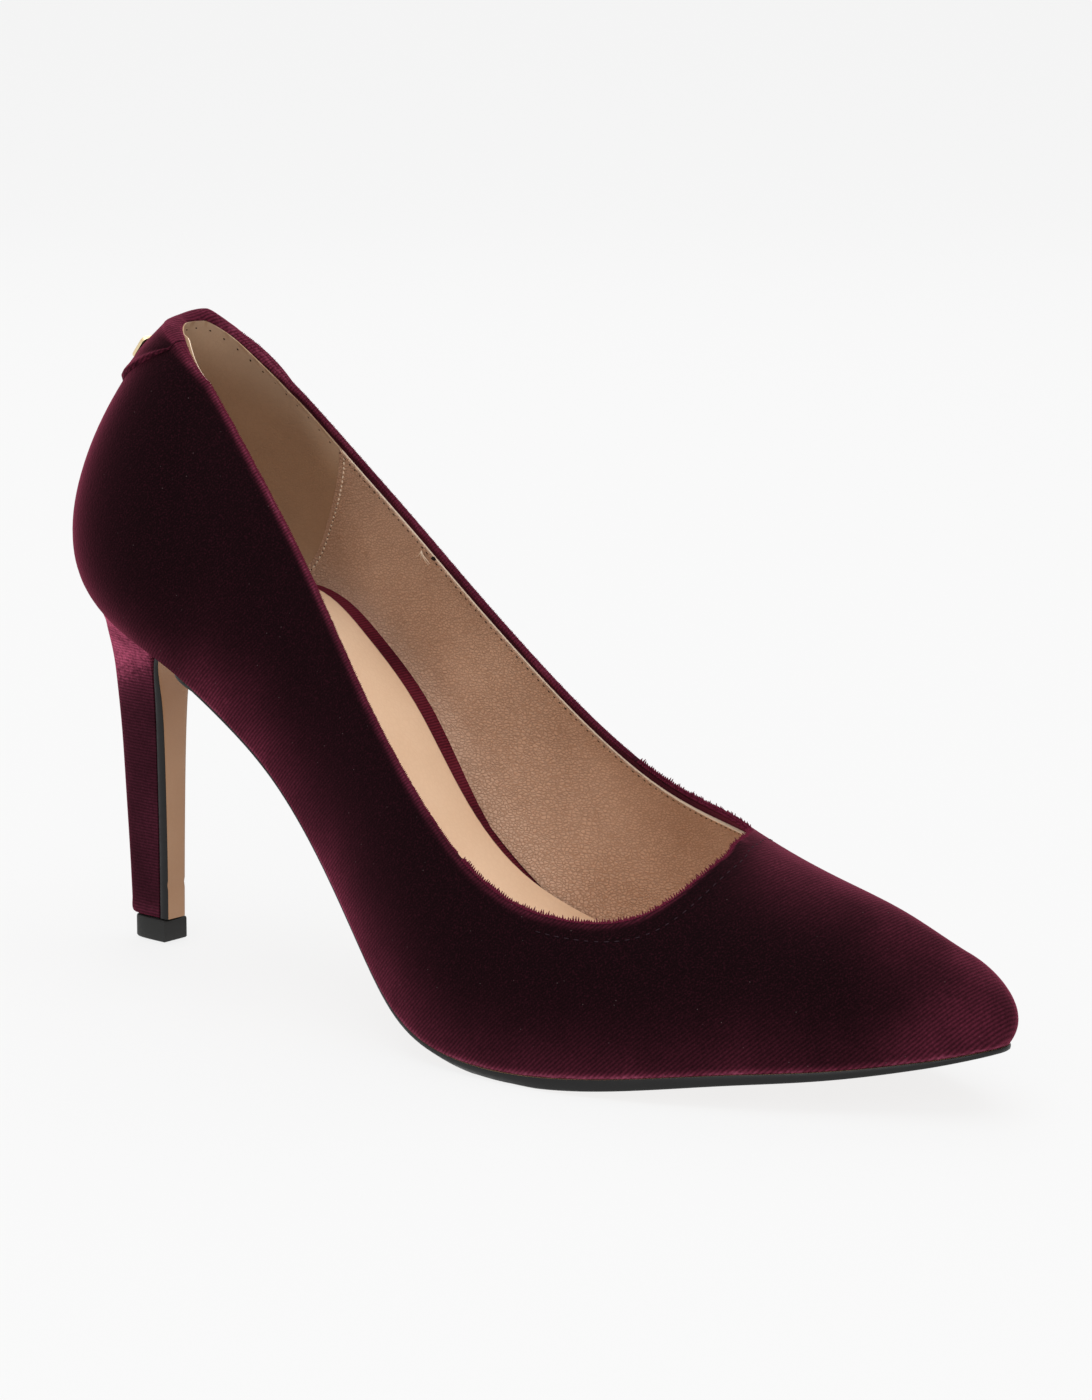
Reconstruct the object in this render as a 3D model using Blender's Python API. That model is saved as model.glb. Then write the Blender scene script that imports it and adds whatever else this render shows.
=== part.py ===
"""Stiletto court shoe for the right foot: pointed closed toe, low square throat, slim covered heel.

Lengths in the tables are millimetres on the last: x runs from the back of the heel to the toe, y to
the inner side of the foot and z up from the floor. The meshes are in metres, with +X to the toe and
the origin on the floor under the middle of the shoe.
"""

import math

import bmesh
import bpy
import numpy as np
from mathutils import Matrix

MM = 0.001

# clearances and walls
GAP = 0.3
UPPER_WALL = 1.8
INSOLE_INSET = 2.3
SOCK_THICK = 0.8
SOCK_STRIP = 4.8

# plan of the last
HEEL_END = 8.5
HEEL_CENTRE = 44.0
TOE_CENTRE = 226.0
TOE_FALL = 0.52
TOE_END = 238.5

# throat of the upper
THROAT = 179.5
THROAT_START = {-1: 150.0, 1: 145.0}
THROAT_POWER = {-1: 2.9, 1: 4.0}
THROAT_SQUARE = {-1: 5.0, 1: 4.0}

# back tab and its metal plate
TAB_TURN = 0.86
TAB_LOW = 121.5
TAB_END_DEPTH = 3.0
TAB_THICK = 0.8
PLATE_HEIGHT = 131.0
PLATE_WIDE = 11.6
PLATE_TALL = 6.0
PLATE_CORNER = 1.2
PLATE_THICK = 1.2

# heel and its top piece
TIP_HEIGHT = 5.0
TIP_BACK = 9.2
TIP_FRONT = 19.6
TIP_HALF = 3.5
COLUMN_POWER = 4.0
SEAT_BACK = 9.1
SEAT_FRONT = 46.5
SEAT_CENTRE = 46.5
WAIST_END = 52.0

# sections of the last: feather edge, outward flare and lift of the wall, crown and its shoulder
LAST_COLUMNS = (
    "x", "axis", "outer", "inner", "feather", "flare_out", "flare_in", "lift", "crown", "shoulder",
)
LAST = (
    (8.5, 0.0, 27.5, 27.0, 77.0, 25.5, 25.5, 17.0, 151.0, 21.0),
    (20.0, 0.0, 27.5, 27.0, 76.3, 20.0, 18.0, 19.5, 149.0, 16.0),
    (45.0, 0.0, 27.5, 27.0, 69.6, 8.5, 6.5, 20.0, 140.0, 11.0),
    (60.0, 0.0, 27.0, 26.0, 61.2, 6.0, 6.0, 20.0, 129.0, 14.5),
    (75.0, 0.0, 26.5, 25.0, 50.0, 4.5, 6.5, 19.5, 115.0, 18.5),
    (90.0, 0.0, 28.0, 24.0, 35.0, 3.5, 6.5, 19.0, 101.0, 23.5),
    (105.0, 0.3, 32.5, 26.0, 19.9, 2.5, 6.0, 18.0, 87.0, 29.0),
    (120.0, 0.6, 37.5, 32.0, 8.1, 2.0, 4.0, 18.0, 74.0, 32.5),
    (140.0, 1.0, 40.0, 36.8, 2.6, 2.0, 2.5, 15.0, 62.0, 32.0),
    (155.0, 1.3, 39.5, 37.5, 2.5, 2.0, 2.0, 14.5, 55.5, 29.0),
    (175.0, 2.5, 35.5, 34.5, 4.3, 2.0, 2.0, 13.5, 47.7, 22.5),
    (195.0, 4.5, 28.3, 28.0, 6.9, 2.0, 2.0, 12.0, 41.2, 16.0),
    (212.0, 6.5, 20.0, 20.0, 9.0, 2.5, 2.5, 10.0, 36.2, 11.0),
    (226.0, 8.3, 12.4, 12.4, 11.7, 3.0, 3.0, 8.0, 30.5, 7.5),
    (238.5, 9.6, 8.0, 8.0, 15.1, 5.2, 5.2, 7.0, 30.5, 8.0),
)

# height of the topline on the outer and the inner side, by its own place along the shoe
TOPLINE_COLUMNS = ("x", "outer", "inner")
TOPLINE = (
    (25.0, 139.9, 139.9),
    (30.0, 138.4, 136.7),
    (37.0, 134.8, 131.7),
    (45.0, 128.2, 125.9),
    (60.0, 114.0, 112.4),
    (80.0, 92.3, 96.2),
    (100.0, 69.8, 78.6),
    (120.0, 51.5, 61.3),
    (135.0, 40.5, 52.2),
    (150.0, 34.5, 47.9),
    (165.0, 33.0, 46.2),
    (180.0, 32.5, 43.2),
)

# height of the foot bed, the top of the insole
BED_COLUMNS = ("x", "z")
BED = (
    (8.5, 80.0),
    (30.0, 79.8),
    (50.0, 76.5),
    (60.0, 70.0),
    (75.0, 57.2),
    (90.0, 39.2),
    (105.0, 22.3),
    (120.0, 11.4),
    (140.0, 6.4),
    (160.0, 5.4),
    (180.0, 6.6),
    (210.0, 11.0),
    (238.0, 17.0),
)

# outsole: how far its edge sits inside the feather edge, and its thickness
SOLE_COLUMNS = ("x", "inset", "thick")
SOLE = (
    (52.0, 2.0, 1.8),
    (75.0, 1.6, 1.8),
    (90.0, 1.5, 1.8),
    (105.0, 0.9, 2.0),
    (120.0, 0.2, 2.2),
    (135.0, 0.0, 2.3),
    (150.0, -0.2, 2.3),
    (170.0, -0.2, 2.3),
    (200.0, -0.2, 2.1),
    (238.0, -0.3, 1.9),
)

# flap of the outsole down the front of the heel: the face against the heel, from waist to tip
FLAP_COLUMNS = ("x", "z", "half", "thick")
FLAP = (
    (46.0, 67.7, 24.8, 1.7),
    (41.0, 69.5, 20.6, 1.6),
    (36.0, 70.5, 16.4, 1.5),
    (31.0, 70.9, 12.4, 1.4),
    (26.5, 70.0, 9.6, 1.3),
    (22.8, 67.8, 7.0, 1.2),
    (20.2, 64.6, 5.2, 1.2),
    (19.0, 60.4, 4.3, 1.4),
    (18.5, 55.0, 3.6, 1.9),
    (18.2, 48.0, 3.2, 2.2),
    (18.0, 38.0, 2.9, 2.3),
    (17.9, 26.0, 2.7, 2.3),
    (17.8, 15.0, 2.5, 2.3),
    (17.7, 5.3, 2.4, 2.3),
)

# heel: share of the height, back, front, half width, and share of the seat's round plan
HEEL_COLUMNS = ("level", "back", "front", "half", "seat")
HEEL = (
    (0.00, 7.7, 17.4, 2.9, 0.0),
    (0.20, 7.0, 17.5, 3.0, 0.0),
    (0.40, 6.2, 17.7, 3.3, 0.0),
    (0.60, 5.4, 17.9, 3.8, 0.0),
    (0.72, 5.0, 18.2, 4.5, 0.0),
    (0.80, 4.9, 18.8, 5.6, 0.10),
    (0.86, 5.2, 20.2, 7.6, 0.25),
    (0.91, 6.0, 23.2, 10.8, 0.50),
    (0.95, 7.0, 28.4, 15.4, 0.75),
    (0.98, 8.1, 36.4, 21.6, 0.92),
    (1.00, 9.1, 46.5, 26.4, 1.0),
)

# finish of each piece: colour, roughness, metallic
FINISH = {
    "upper": ((0.045, 0.007, 0.013), 0.85, 0.0),
    "heel_tab": ((0.052, 0.008, 0.015), 0.85, 0.0),
    "back_plate": ((0.72, 0.50, 0.20), 0.28, 1.0),
    "insole": ((0.045, 0.007, 0.013), 0.85, 0.0),
    "sock": ((0.76, 0.54, 0.36), 0.50, 0.0),
    "outsole": ((0.30, 0.17, 0.09), 0.45, 0.0),
    "heel": ((0.060, 0.009, 0.018), 0.85, 0.0),
    "top_piece": ((0.020, 0.022, 0.020), 0.42, 0.0),
}

# mesh counts
BACK_STEPS = 10
SIDE_STEPS = 22
VAMP_STEPS = 12
TOE_STEPS = 6
WALL_ROWS = 10
TAB_STEPS = 12
TAB_ROWS = 5
HEEL_STEPS = 10


def spline(table, columns, key):
    """Natural cubic through one column of a table, held at its ends."""
    knots = np.array([row[0] for row in table], float)
    values = np.array([row[columns.index(key)] for row in table], float)
    count = len(knots)
    step = np.diff(knots)
    matrix = np.zeros((count, count))
    right = np.zeros(count)
    matrix[0, 0] = 1.0
    matrix[-1, -1] = 1.0
    for i in range(1, count - 1):
        matrix[i, i - 1] = step[i - 1]
        matrix[i, i] = 2.0 * (step[i - 1] + step[i])
        matrix[i, i + 1] = step[i]
        rise = (values[i + 1] - values[i]) / step[i] - (values[i] - values[i - 1]) / step[i - 1]
        right[i] = 6.0 * rise
    bend = np.linalg.solve(matrix, right)

    def at(x):
        x = min(max(x, knots[0]), knots[-1])
        i = min(int(np.searchsorted(knots, x, side="right")) - 1, count - 2)
        a = (knots[i + 1] - x) / step[i]
        b = 1.0 - a
        curve = ((a ** 3 - a) * bend[i] + (b ** 3 - b) * bend[i + 1]) * step[i] ** 2 / 6.0
        return float(a * values[i] + b * values[i + 1] + curve)

    return at


last = {key: spline(LAST, LAST_COLUMNS, key) for key in LAST_COLUMNS}
topline = {-1: spline(TOPLINE, TOPLINE_COLUMNS, "outer"), 1: spline(TOPLINE, TOPLINE_COLUMNS, "inner")}
sole = {key: spline(SOLE, SOLE_COLUMNS, key) for key in SOLE_COLUMNS}
bed = spline(BED, BED_COLUMNS, "z")


def fan_centre(x):
    """Middle of the section through x; the heel and the toe fan out from one centre each."""
    cx = min(max(x, HEEL_CENTRE), TOE_CENTRE)
    return np.array([cx, last["axis"](cx)])


def feather_point(x, side):
    """Feather edge in plan."""
    back = min(max((HEEL_CENTRE - x) / (HEEL_CENTRE - HEEL_END), 0.0), 1.0)
    front = min(max((x - TOE_CENTRE) / (TOE_END - TOE_CENTRE), 0.0), 1.0)
    rounding = math.sqrt(1.0 - back * back) * math.sqrt(1.0 - front * front)
    half = last["outer" if side < 0 else "inner"](x) * rounding
    return np.array([x, last["axis"](min(x, TOE_CENTRE)) + side * half])


def plan_point(x, side, inset):
    """Feather edge moved inwards."""
    edge = feather_point(x, side)
    inward = fan_centre(x) - edge
    return edge + inward * (inset / np.linalg.norm(inward))


def bezier(a, b, c, d, t):
    s = 1.0 - t
    return a * s ** 3 + 3.0 * b * s * s * t + 3.0 * c * s * t * t + d * t ** 3


def wall_height(x, t):
    """Height of the upper's outside at station x; t is 0 at the feather edge and 1 at the crown."""
    crown = last["crown"](min(x, TOE_CENTRE))
    foot = last["feather"](x)
    front = max((x - TOE_CENTRE) / (TOE_END - TOE_CENTRE), 0.0)
    shoulder = crown - TOE_FALL * last["shoulder"](x) * front
    return bezier(foot, foot + last["lift"](x), shoulder, crown, t)


def wall_point(x, side, t):
    """Point on the outside of the upper."""
    edge = feather_point(x, side)
    centre = fan_centre(x)
    inward = centre - edge
    reach = float(np.linalg.norm(inward))
    flare = last["flare_out" if side < 0 else "flare_in"](x)
    radius = bezier(reach, reach + flare, last["shoulder"](x), 0.0, t)
    plan = centre - inward / reach * radius
    return np.array([plan[0], plan[1], wall_height(x, t)])


def share_at_height(x, height):
    """Where the wall at station x reaches a height."""
    low = 0.0
    high = 1.0
    for _ in range(40):
        middle = 0.5 * (low + high)
        if wall_height(x, middle) < height:
            low = middle
        else:
            high = middle
    return 0.5 * (low + high)


def share_at_topline(x, side):
    """Where the wall at station x meets the topline; round the heel it leans to another place along it."""
    low = 0.0
    high = 1.0
    for _ in range(40):
        middle = 0.5 * (low + high)
        point = wall_point(x, side, middle)
        if point[2] < topline[side](point[0]):
            low = middle
        else:
            high = middle
    return 0.5 * (low + high)


def share_at_top(x, side):
    """Where the wall ends at the topline; the throat closes it to the crown."""
    if x >= THROAT:
        return 1.0
    base = share_at_topline(x, side)
    along = min(max((x - THROAT_START[side]) / (THROAT - THROAT_START[side]), 0.0), 1.0)
    closed = 1.0 - (1.0 - along ** THROAT_POWER[side]) ** (1.0 / THROAT_SQUARE[side])
    return base + (1.0 - base) * closed


def stations():
    """Sections from the back of the heel to the tip of the toe."""
    found = []
    for i in range(BACK_STEPS):
        found.append(HEEL_CENTRE - (HEEL_CENTRE - HEEL_END) * math.cos(0.5 * math.pi * i / BACK_STEPS))
    for i in range(SIDE_STEPS):
        found.append(HEEL_CENTRE + (THROAT - HEEL_CENTRE) * math.sin(0.5 * math.pi * i / SIDE_STEPS))
    for i in range(VAMP_STEPS):
        found.append(THROAT + (TOE_CENTRE - THROAT) * i / VAMP_STEPS)
    for i in range(TOE_STEPS + 1):
        found.append(TOE_CENTRE + (TOE_END - TOE_CENTRE) * math.sin(0.5 * math.pi * i / TOE_STEPS))
    return found


def back_point(turn, t):
    """Point on the back of the upper by its turn from the centre line."""
    x = HEEL_CENTRE - (HEEL_CENTRE - HEEL_END) * math.cos(turn)
    return wall_point(x, 1 if turn > 0.0 else -1, t)


def back_frame(turn, t):
    """Point, outward normal and upward tangent on the back of the upper."""
    small = 0.01
    point = back_point(turn, t)
    across = back_point(turn + small, t) - back_point(turn - small, t)
    rise = back_point(turn, t + small) - back_point(turn, t - small)
    normal = np.cross(rise, across)
    return point, normal / np.linalg.norm(normal), rise / np.linalg.norm(rise)


def finish_for(name):
    colour, roughness, metallic = FINISH[name]
    material = bpy.data.materials.new(name + "_finish")
    material.use_nodes = True
    shader = material.node_tree.nodes["Principled BSDF"]
    shader.inputs["Base Color"].default_value = (*colour, 1.0)
    shader.inputs["Roughness"].default_value = roughness
    shader.inputs["Metallic"].default_value = metallic
    material.diffuse_color = (*colour, 1.0)
    return material


def skin(name, grids, closed=True):
    """One named object from grids of points; points that coincide become one."""
    bm = bmesh.new()
    for grid in grids:
        verts = [[bm.verts.new([c * MM for c in point]) for point in row] for row in grid]
        for i in range(len(verts) - 1):
            for j in range(len(verts[i]) - 1):
                bm.faces.new((verts[i][j], verts[i][j + 1], verts[i + 1][j + 1], verts[i + 1][j]))
    bmesh.ops.remove_doubles(bm, verts=bm.verts, dist=0.00001)
    if closed:
        bmesh.ops.recalc_face_normals(bm, faces=bm.faces)
    mesh = bpy.data.meshes.new(name)
    bm.to_mesh(mesh)
    bm.free()
    mesh.materials.append(finish_for(name))
    mesh.shade_smooth()
    mesh.set_sharp_from_angle(angle=math.radians(40.0))
    piece = bpy.data.objects.new(name, mesh)
    bpy.context.scene.collection.objects.link(piece)
    return piece


def thicken(piece, thickness, offset):
    wall = piece.modifiers.new("wall", "SOLIDIFY")
    wall.thickness = thickness * MM
    wall.offset = offset
    wall.use_even_offset = True
    wall.use_quality_normals = True
    return piece


def build_upper():
    """Velvet upper: one wall from the feather edge to the topline, closed over the vamp."""
    grids = []
    for side in (-1, 1):
        grid = []
        for x in stations():
            top = share_at_top(x, side)
            grid.append([wall_point(x, side, top * j / WALL_ROWS) for j in range(WALL_ROWS + 1)])
        grids.append(grid[::-1] if side < 0 else grid)
    return thicken(skin("upper", grids, closed=False), UPPER_WALL, -1.0)


def build_tab():
    """Folded tab over the back seam, cut from the upper's own outside and lapped over the rim."""
    grid = []
    for i in range(TAB_STEPS + 1):
        turn = TAB_TURN * (2.0 * i / TAB_STEPS - 1.0)
        x = HEEL_CENTRE - (HEEL_CENTRE - HEEL_END) * math.cos(turn)
        top = share_at_top(x, 1 if turn > 0.0 else -1)
        rim = wall_height(x, top)
        low = TAB_LOW + (rim - TAB_END_DEPTH - TAB_LOW) * abs(turn / TAB_TURN)
        bottom = share_at_height(x, low)
        row = []
        for j in range(TAB_ROWS + 1):
            point, normal, rise = back_frame(turn, bottom + (top - bottom) * j / TAB_ROWS)
            row.append(point + normal * GAP)
        row[-1] = row[-1] + rise * GAP
        row.append(point - normal * UPPER_WALL + rise * GAP)
        grid.append(row)
    return thicken(skin("heel_tab", [grid], closed=False), TAB_THICK, 1.0)


def build_plate():
    """Small plain metal plate pinned on the back tab."""
    share = share_at_height(HEEL_END, PLATE_HEIGHT)
    point, normal, rise = back_frame(0.0, share)
    across = np.cross(normal, rise)
    seat = point + normal * (2.0 * GAP + TAB_THICK)
    ring = []
    for corner in range(4):
        sx = 1.0 if corner in (0, 3) else -1.0
        sz = 1.0 if corner in (0, 1) else -1.0
        for i in range(5):
            angle = 0.5 * math.pi * (corner + i / 4.0)
            a = sx * (0.5 * PLATE_WIDE - PLATE_CORNER) + PLATE_CORNER * math.cos(angle)
            b = sz * (0.5 * PLATE_TALL - PLATE_CORNER) + PLATE_CORNER * math.sin(angle)
            ring.append(a * across + b * rise)
    ring.append(ring[0])
    back = [seat + p for p in ring]
    front = [seat + p + normal * PLATE_THICK for p in ring]
    caps = [[[seat for _ in ring], back], [[seat + normal * PLATE_THICK for _ in ring], front]]
    return skin("back_plate", [[back, front]] + caps)


def build_layer(name, under, over, inset):
    """Sheet inside the shoe over the whole length of the foot."""
    grid = []
    for x in stations():
        ring = []
        for side, height in ((-1, under), (1, under), (1, over), (-1, over)):
            px, py = plan_point(x, side, inset(x))
            ring.append((px, py, height(px)))
        grid.append(ring + ring[:1])
    return skin(name, [grid])


def build_insole():
    """Covered insole board with its padding, from the feather line up to the foot bed."""
    return build_layer("insole", last["feather"], bed, lambda x: INSOLE_INSET)


def build_sock():
    """Thin leather sock; it leaves a strip of the covered insole bare along heel and waist."""

    def inset(x):
        strip = math.exp(-((x - 64.0) / 40.0) ** 6)
        return INSOLE_INSET + 0.3 + SOCK_STRIP * strip

    return build_layer("sock", lambda x: bed(x) + GAP, lambda x: bed(x) + GAP + SOCK_THICK, inset)


def build_outsole():
    """Leather sole from the toe to the heel, turned down the front of the heel as a flap."""
    grid = []
    for x in reversed(stations()):
        if x < WAIST_END:
            continue
        ring = []
        for side, drop in ((-1, 0.0), (1, 0.0), (1, sole["thick"](x)), (-1, sole["thick"](x))):
            px, py = plan_point(x, side, sole["inset"](x))
            ring.append((px, py, max(last["feather"](px) - GAP - drop, 0.0)))
        grid.append(ring + ring[:1])
    path = np.array([row[:2] for row in FLAP])
    for i, (x, z, half, thick) in enumerate(FLAP):
        before = path[i - 1] if i else np.array([WAIST_END, last["feather"](WAIST_END) - GAP])
        after = path[i + 1] if i + 1 < len(path) else path[i] + np.array([0.0, -1.0])
        along = (after - before) / np.linalg.norm(after - before)
        out = np.array([-along[1], along[0]])
        fx, fz = path[i] + out * thick
        ring = [(x, -half, z), (x, half, z), (fx, half, fz), (fx, -half, fz)]
        grid.append(ring + ring[:1])
    end = [grid[-1][0:2], [grid[-1][3], grid[-1][2]]]
    return skin("outsole", [grid, end])


def seat_half(share):
    """Half width of the heel seat, as a share of its widest, from front 0 to back 1."""
    x = SEAT_FRONT + (SEAT_BACK - SEAT_FRONT) * share
    return math.sqrt(max(1.0 - ((SEAT_CENTRE - x) / (SEAT_CENTRE - SEAT_BACK)) ** 2, 0.0))


def column_grids(levels, foot):
    """Sides, front and both ends of a column of rounded sections."""
    shares = [math.sin(0.5 * math.pi * i / HEEL_STEPS) for i in range(HEEL_STEPS + 1)]
    sides = []
    ends = []
    for level, back, front, half, seat in levels:
        left = []
        right = []
        for share in shares:
            x = front + (back - front) * share
            box = max(1.0 - share ** COLUMN_POWER, 0.0) ** (1.0 / COLUMN_POWER)
            y = half * ((1.0 - seat) * box + seat * seat_half(share))
            z = foot + (last["feather"](x) - GAP - foot) * level
            left.append((x, -y, z))
            right.append((x, y, z))
        sides.append(left + right[::-1] + left[:1])
        ends.append([left, right])
    return [sides, ends[0], ends[-1]]


def build_heel():
    """Velvet covered heel, a slim column that opens to the seat."""
    return skin("heel", column_grids(HEEL, TIP_HEIGHT + GAP))


def build_top_piece():
    """Black tip under the heel."""
    share = TIP_HEIGHT / (last["feather"](TIP_FRONT) - GAP)
    row = (TIP_BACK, TIP_FRONT, TIP_HALF, 0.0)
    piece = column_grids(((0.0, *row), (share, *row)), 0.0)
    flat = [[[(x, y, TIP_HEIGHT if z > 0.1 else 0.0) for x, y, z in row] for row in grid] for grid in piece]
    return skin("top_piece", flat)


def centre_on_floor(pieces):
    """Move the meshes so that the origin lies on the floor under the middle of the shoe."""
    bpy.context.view_layer.update()
    corners = []
    depsgraph = bpy.context.evaluated_depsgraph_get()
    for piece in pieces:
        shape = piece.evaluated_get(depsgraph)
        corners.extend(tuple(vert.co) for vert in shape.data.vertices)
    low = np.min(corners, axis=0)
    high = np.max(corners, axis=0)
    shift = Matrix.Translation((-0.5 * (low[0] + high[0]), -0.5 * (low[1] + high[1]), -low[2]))
    for piece in pieces:
        piece.data.transform(shift)
        piece.data.update()


for old in list(bpy.data.objects):
    bpy.data.objects.remove(old, do_unlink=True)

centre_on_floor([
    build_upper(),
    build_tab(),
    build_plate(),
    build_insole(),
    build_sock(),
    build_outsole(),
    build_heel(),
    build_top_piece(),
])
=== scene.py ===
import math

import bmesh
import bpy
import numpy as np
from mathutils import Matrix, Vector


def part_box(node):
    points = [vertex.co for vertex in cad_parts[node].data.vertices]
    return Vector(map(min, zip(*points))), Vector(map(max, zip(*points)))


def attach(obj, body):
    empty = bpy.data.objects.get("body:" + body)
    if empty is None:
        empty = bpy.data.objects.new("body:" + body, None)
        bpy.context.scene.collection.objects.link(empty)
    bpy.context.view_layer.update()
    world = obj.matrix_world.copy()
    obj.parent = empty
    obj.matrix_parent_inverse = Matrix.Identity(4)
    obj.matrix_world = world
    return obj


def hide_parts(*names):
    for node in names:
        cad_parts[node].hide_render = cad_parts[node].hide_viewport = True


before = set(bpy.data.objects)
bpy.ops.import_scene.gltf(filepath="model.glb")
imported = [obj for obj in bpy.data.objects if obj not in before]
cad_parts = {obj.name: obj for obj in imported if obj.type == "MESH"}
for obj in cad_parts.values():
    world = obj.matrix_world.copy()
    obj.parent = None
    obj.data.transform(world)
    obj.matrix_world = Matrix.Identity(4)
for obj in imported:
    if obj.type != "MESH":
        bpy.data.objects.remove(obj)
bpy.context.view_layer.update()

# Insole
# A board with its shank and padding, cut to the bottom of the last and covered in the same velvet as
# the upper. The sock hides most of it; a strip of its covering shows along the heel and the waist.
HEEL_END = 8.5
HEEL_CENTRE = 44.0
TOE_CENTRE = 226.0
TOE_END = 238.5
INSOLE_INSET = 2.3
SHEET_ENDS = (20, 12)
MERGE = 0.000006
SHARP_ANGLE = 50.0
LEAF_PROFILE = ((0.0, 0.0), (0.0, 0.6), (0.3, 0.88), (1.0, 1.0))
LEAF_ACROSS = 6
LAST_COLUMNS = (
    "x", "axis", "outer", "inner", "feather", "flare_out", "flare_in", "lift", "crown", "shoulder",
)
LAST = (
    (8.5, 0.0, 27.5, 27.0, 77.0, 25.5, 25.5, 17.0, 151.0, 21.0),
    (20.0, 0.0, 27.5, 27.0, 76.3, 20.0, 18.0, 19.5, 149.0, 16.0),
    (45.0, 0.0, 27.5, 27.0, 69.6, 8.5, 6.5, 20.0, 140.0, 11.0),
    (60.0, 0.0, 27.0, 26.0, 61.2, 6.0, 6.0, 20.0, 129.0, 14.5),
    (75.0, 0.0, 26.5, 25.0, 50.0, 4.5, 6.5, 19.5, 115.0, 18.5),
    (90.0, 0.0, 28.0, 24.0, 35.0, 3.5, 6.5, 19.0, 101.0, 23.5),
    (105.0, 0.3, 32.5, 26.0, 19.9, 2.5, 6.0, 18.0, 87.0, 29.0),
    (120.0, 0.6, 37.5, 32.0, 8.1, 2.0, 4.0, 18.0, 74.0, 32.5),
    (140.0, 1.0, 40.0, 36.8, 2.6, 2.0, 2.5, 15.0, 62.0, 32.0),
    (155.0, 1.3, 39.5, 37.5, 2.5, 2.0, 2.0, 14.5, 55.5, 29.0),
    (175.0, 2.5, 35.5, 34.5, 4.3, 2.0, 2.0, 13.5, 47.7, 22.5),
    (195.0, 4.5, 28.3, 28.0, 6.9, 2.0, 2.0, 12.0, 41.6, 16.0),
    (212.0, 6.5, 20.0, 20.0, 8.6, 2.5, 2.5, 10.0, 37.0, 11.0),
    (226.0, 8.3, 12.4, 12.4, 10.9, 3.0, 3.0, 8.0, 31.3, 7.5),
    (238.5, 9.6, 8.0, 8.0, 13.9, 5.2, 5.2, 7.0, 25.6, 10.5),
)
BED_COLUMNS = ("x", "z")
BED = (
    (8.5, 80.0),
    (30.0, 79.8),
    (50.0, 76.5),
    (60.0, 70.0),
    (75.0, 57.2),
    (90.0, 39.2),
    (105.0, 22.3),
    (120.0, 12.8),
    (140.0, 8.6),
    (160.0, 7.2),
    (180.0, 7.6),
    (210.0, 11.0),
    (238.0, 17.0),
)


def spline(table, columns, key):
    """Natural cubic through one column of a table, held at its ends; takes a number or an array."""
    knots = np.array([row[0] for row in table], float)
    values = np.array([row[columns.index(key)] for row in table], float)
    count = len(knots)
    step = np.diff(knots)
    matrix = np.eye(count)
    right = np.zeros(count)
    for i in range(1, count - 1):
        matrix[i, i - 1:i + 2] = (step[i - 1], 2.0 * (step[i - 1] + step[i]), step[i])
        rise = (values[i + 1] - values[i]) / step[i] - (values[i] - values[i - 1]) / step[i - 1]
        right[i] = 6.0 * rise
    bend = np.linalg.solve(matrix, right)

    def at(x):
        x = np.clip(x, knots[0], knots[-1])
        i = np.clip(np.searchsorted(knots, x, side="right") - 1, 0, count - 2)
        a = (knots[i + 1] - x) / step[i]
        b = 1.0 - a
        curve = ((a ** 3 - a) * bend[i] + (b ** 3 - b) * bend[i + 1]) * step[i] ** 2 / 6.0
        return a * values[i] + b * values[i + 1] + curve

    return at


last = {key: spline(LAST, LAST_COLUMNS, key) for key in LAST_COLUMNS}
bed = spline(BED, BED_COLUMNS, "z")


def fan_centre(x):
    """Middle of the section through x; the heel and the toe fan out from one centre each."""
    cx = min(max(x, HEEL_CENTRE), TOE_CENTRE)
    return np.array([cx, float(last["axis"](cx))])


def feather_point(x, side):
    """Feather edge in plan, on the outer side (-1) or the inner side (1)."""
    back = min(max((HEEL_CENTRE - x) / (HEEL_CENTRE - HEEL_END), 0.0), 1.0)
    front = min(max((x - TOE_CENTRE) / (TOE_END - TOE_CENTRE), 0.0), 1.0)
    rounding = math.sqrt(1.0 - back * back) * math.sqrt(1.0 - front * front)
    half = float(last["outer" if side < 0 else "inner"](x)) * rounding
    return np.array([x, float(last["axis"](min(x, TOE_CENTRE))) + side * half])


def plan_point(x, side, inset):
    """Feather edge moved inwards."""
    edge = feather_point(x, side)
    inward = fan_centre(x) - edge
    return edge + inward * (inset / np.linalg.norm(inward))


def round_ends(low, high, back_steps, toe_steps):
    """Sections of the round heel and the round toe, close together at the ends."""
    quarter_turn = 0.5 * math.pi
    back = [HEEL_CENTRE - (HEEL_CENTRE - low) * math.cos(quarter_turn * i / back_steps)
            for i in range(back_steps)]
    toe = [TOE_CENTRE + (high - TOE_CENTRE) * math.sin(quarter_turn * i / toe_steps)
           for i in range(1, toe_steps + 1)]
    return back, toe


def sheet_stations(steps):
    """Sections along a sheet that follows the bottom of the last."""
    back, toe = round_ends(HEEL_END, TOE_END, *SHEET_ENDS)
    return back + list(np.linspace(HEEL_CENTRE, TOE_CENTRE, steps)) + toe


# the solids say where the last's own zero lies in the shoe's frame
ORIGIN = np.array([
    HEEL_END + INSOLE_INSET - 1000.0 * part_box("insole")[0][0],
    -500.0 * (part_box("top_piece")[0][1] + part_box("top_piece")[1][1]),
    0.0,
])


def to_frame(points):
    """Millimetres on the last to metres in the shoe's frame."""
    return (np.asarray(points, float).reshape(-1, 3) - ORIGIN) * 0.001


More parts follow.
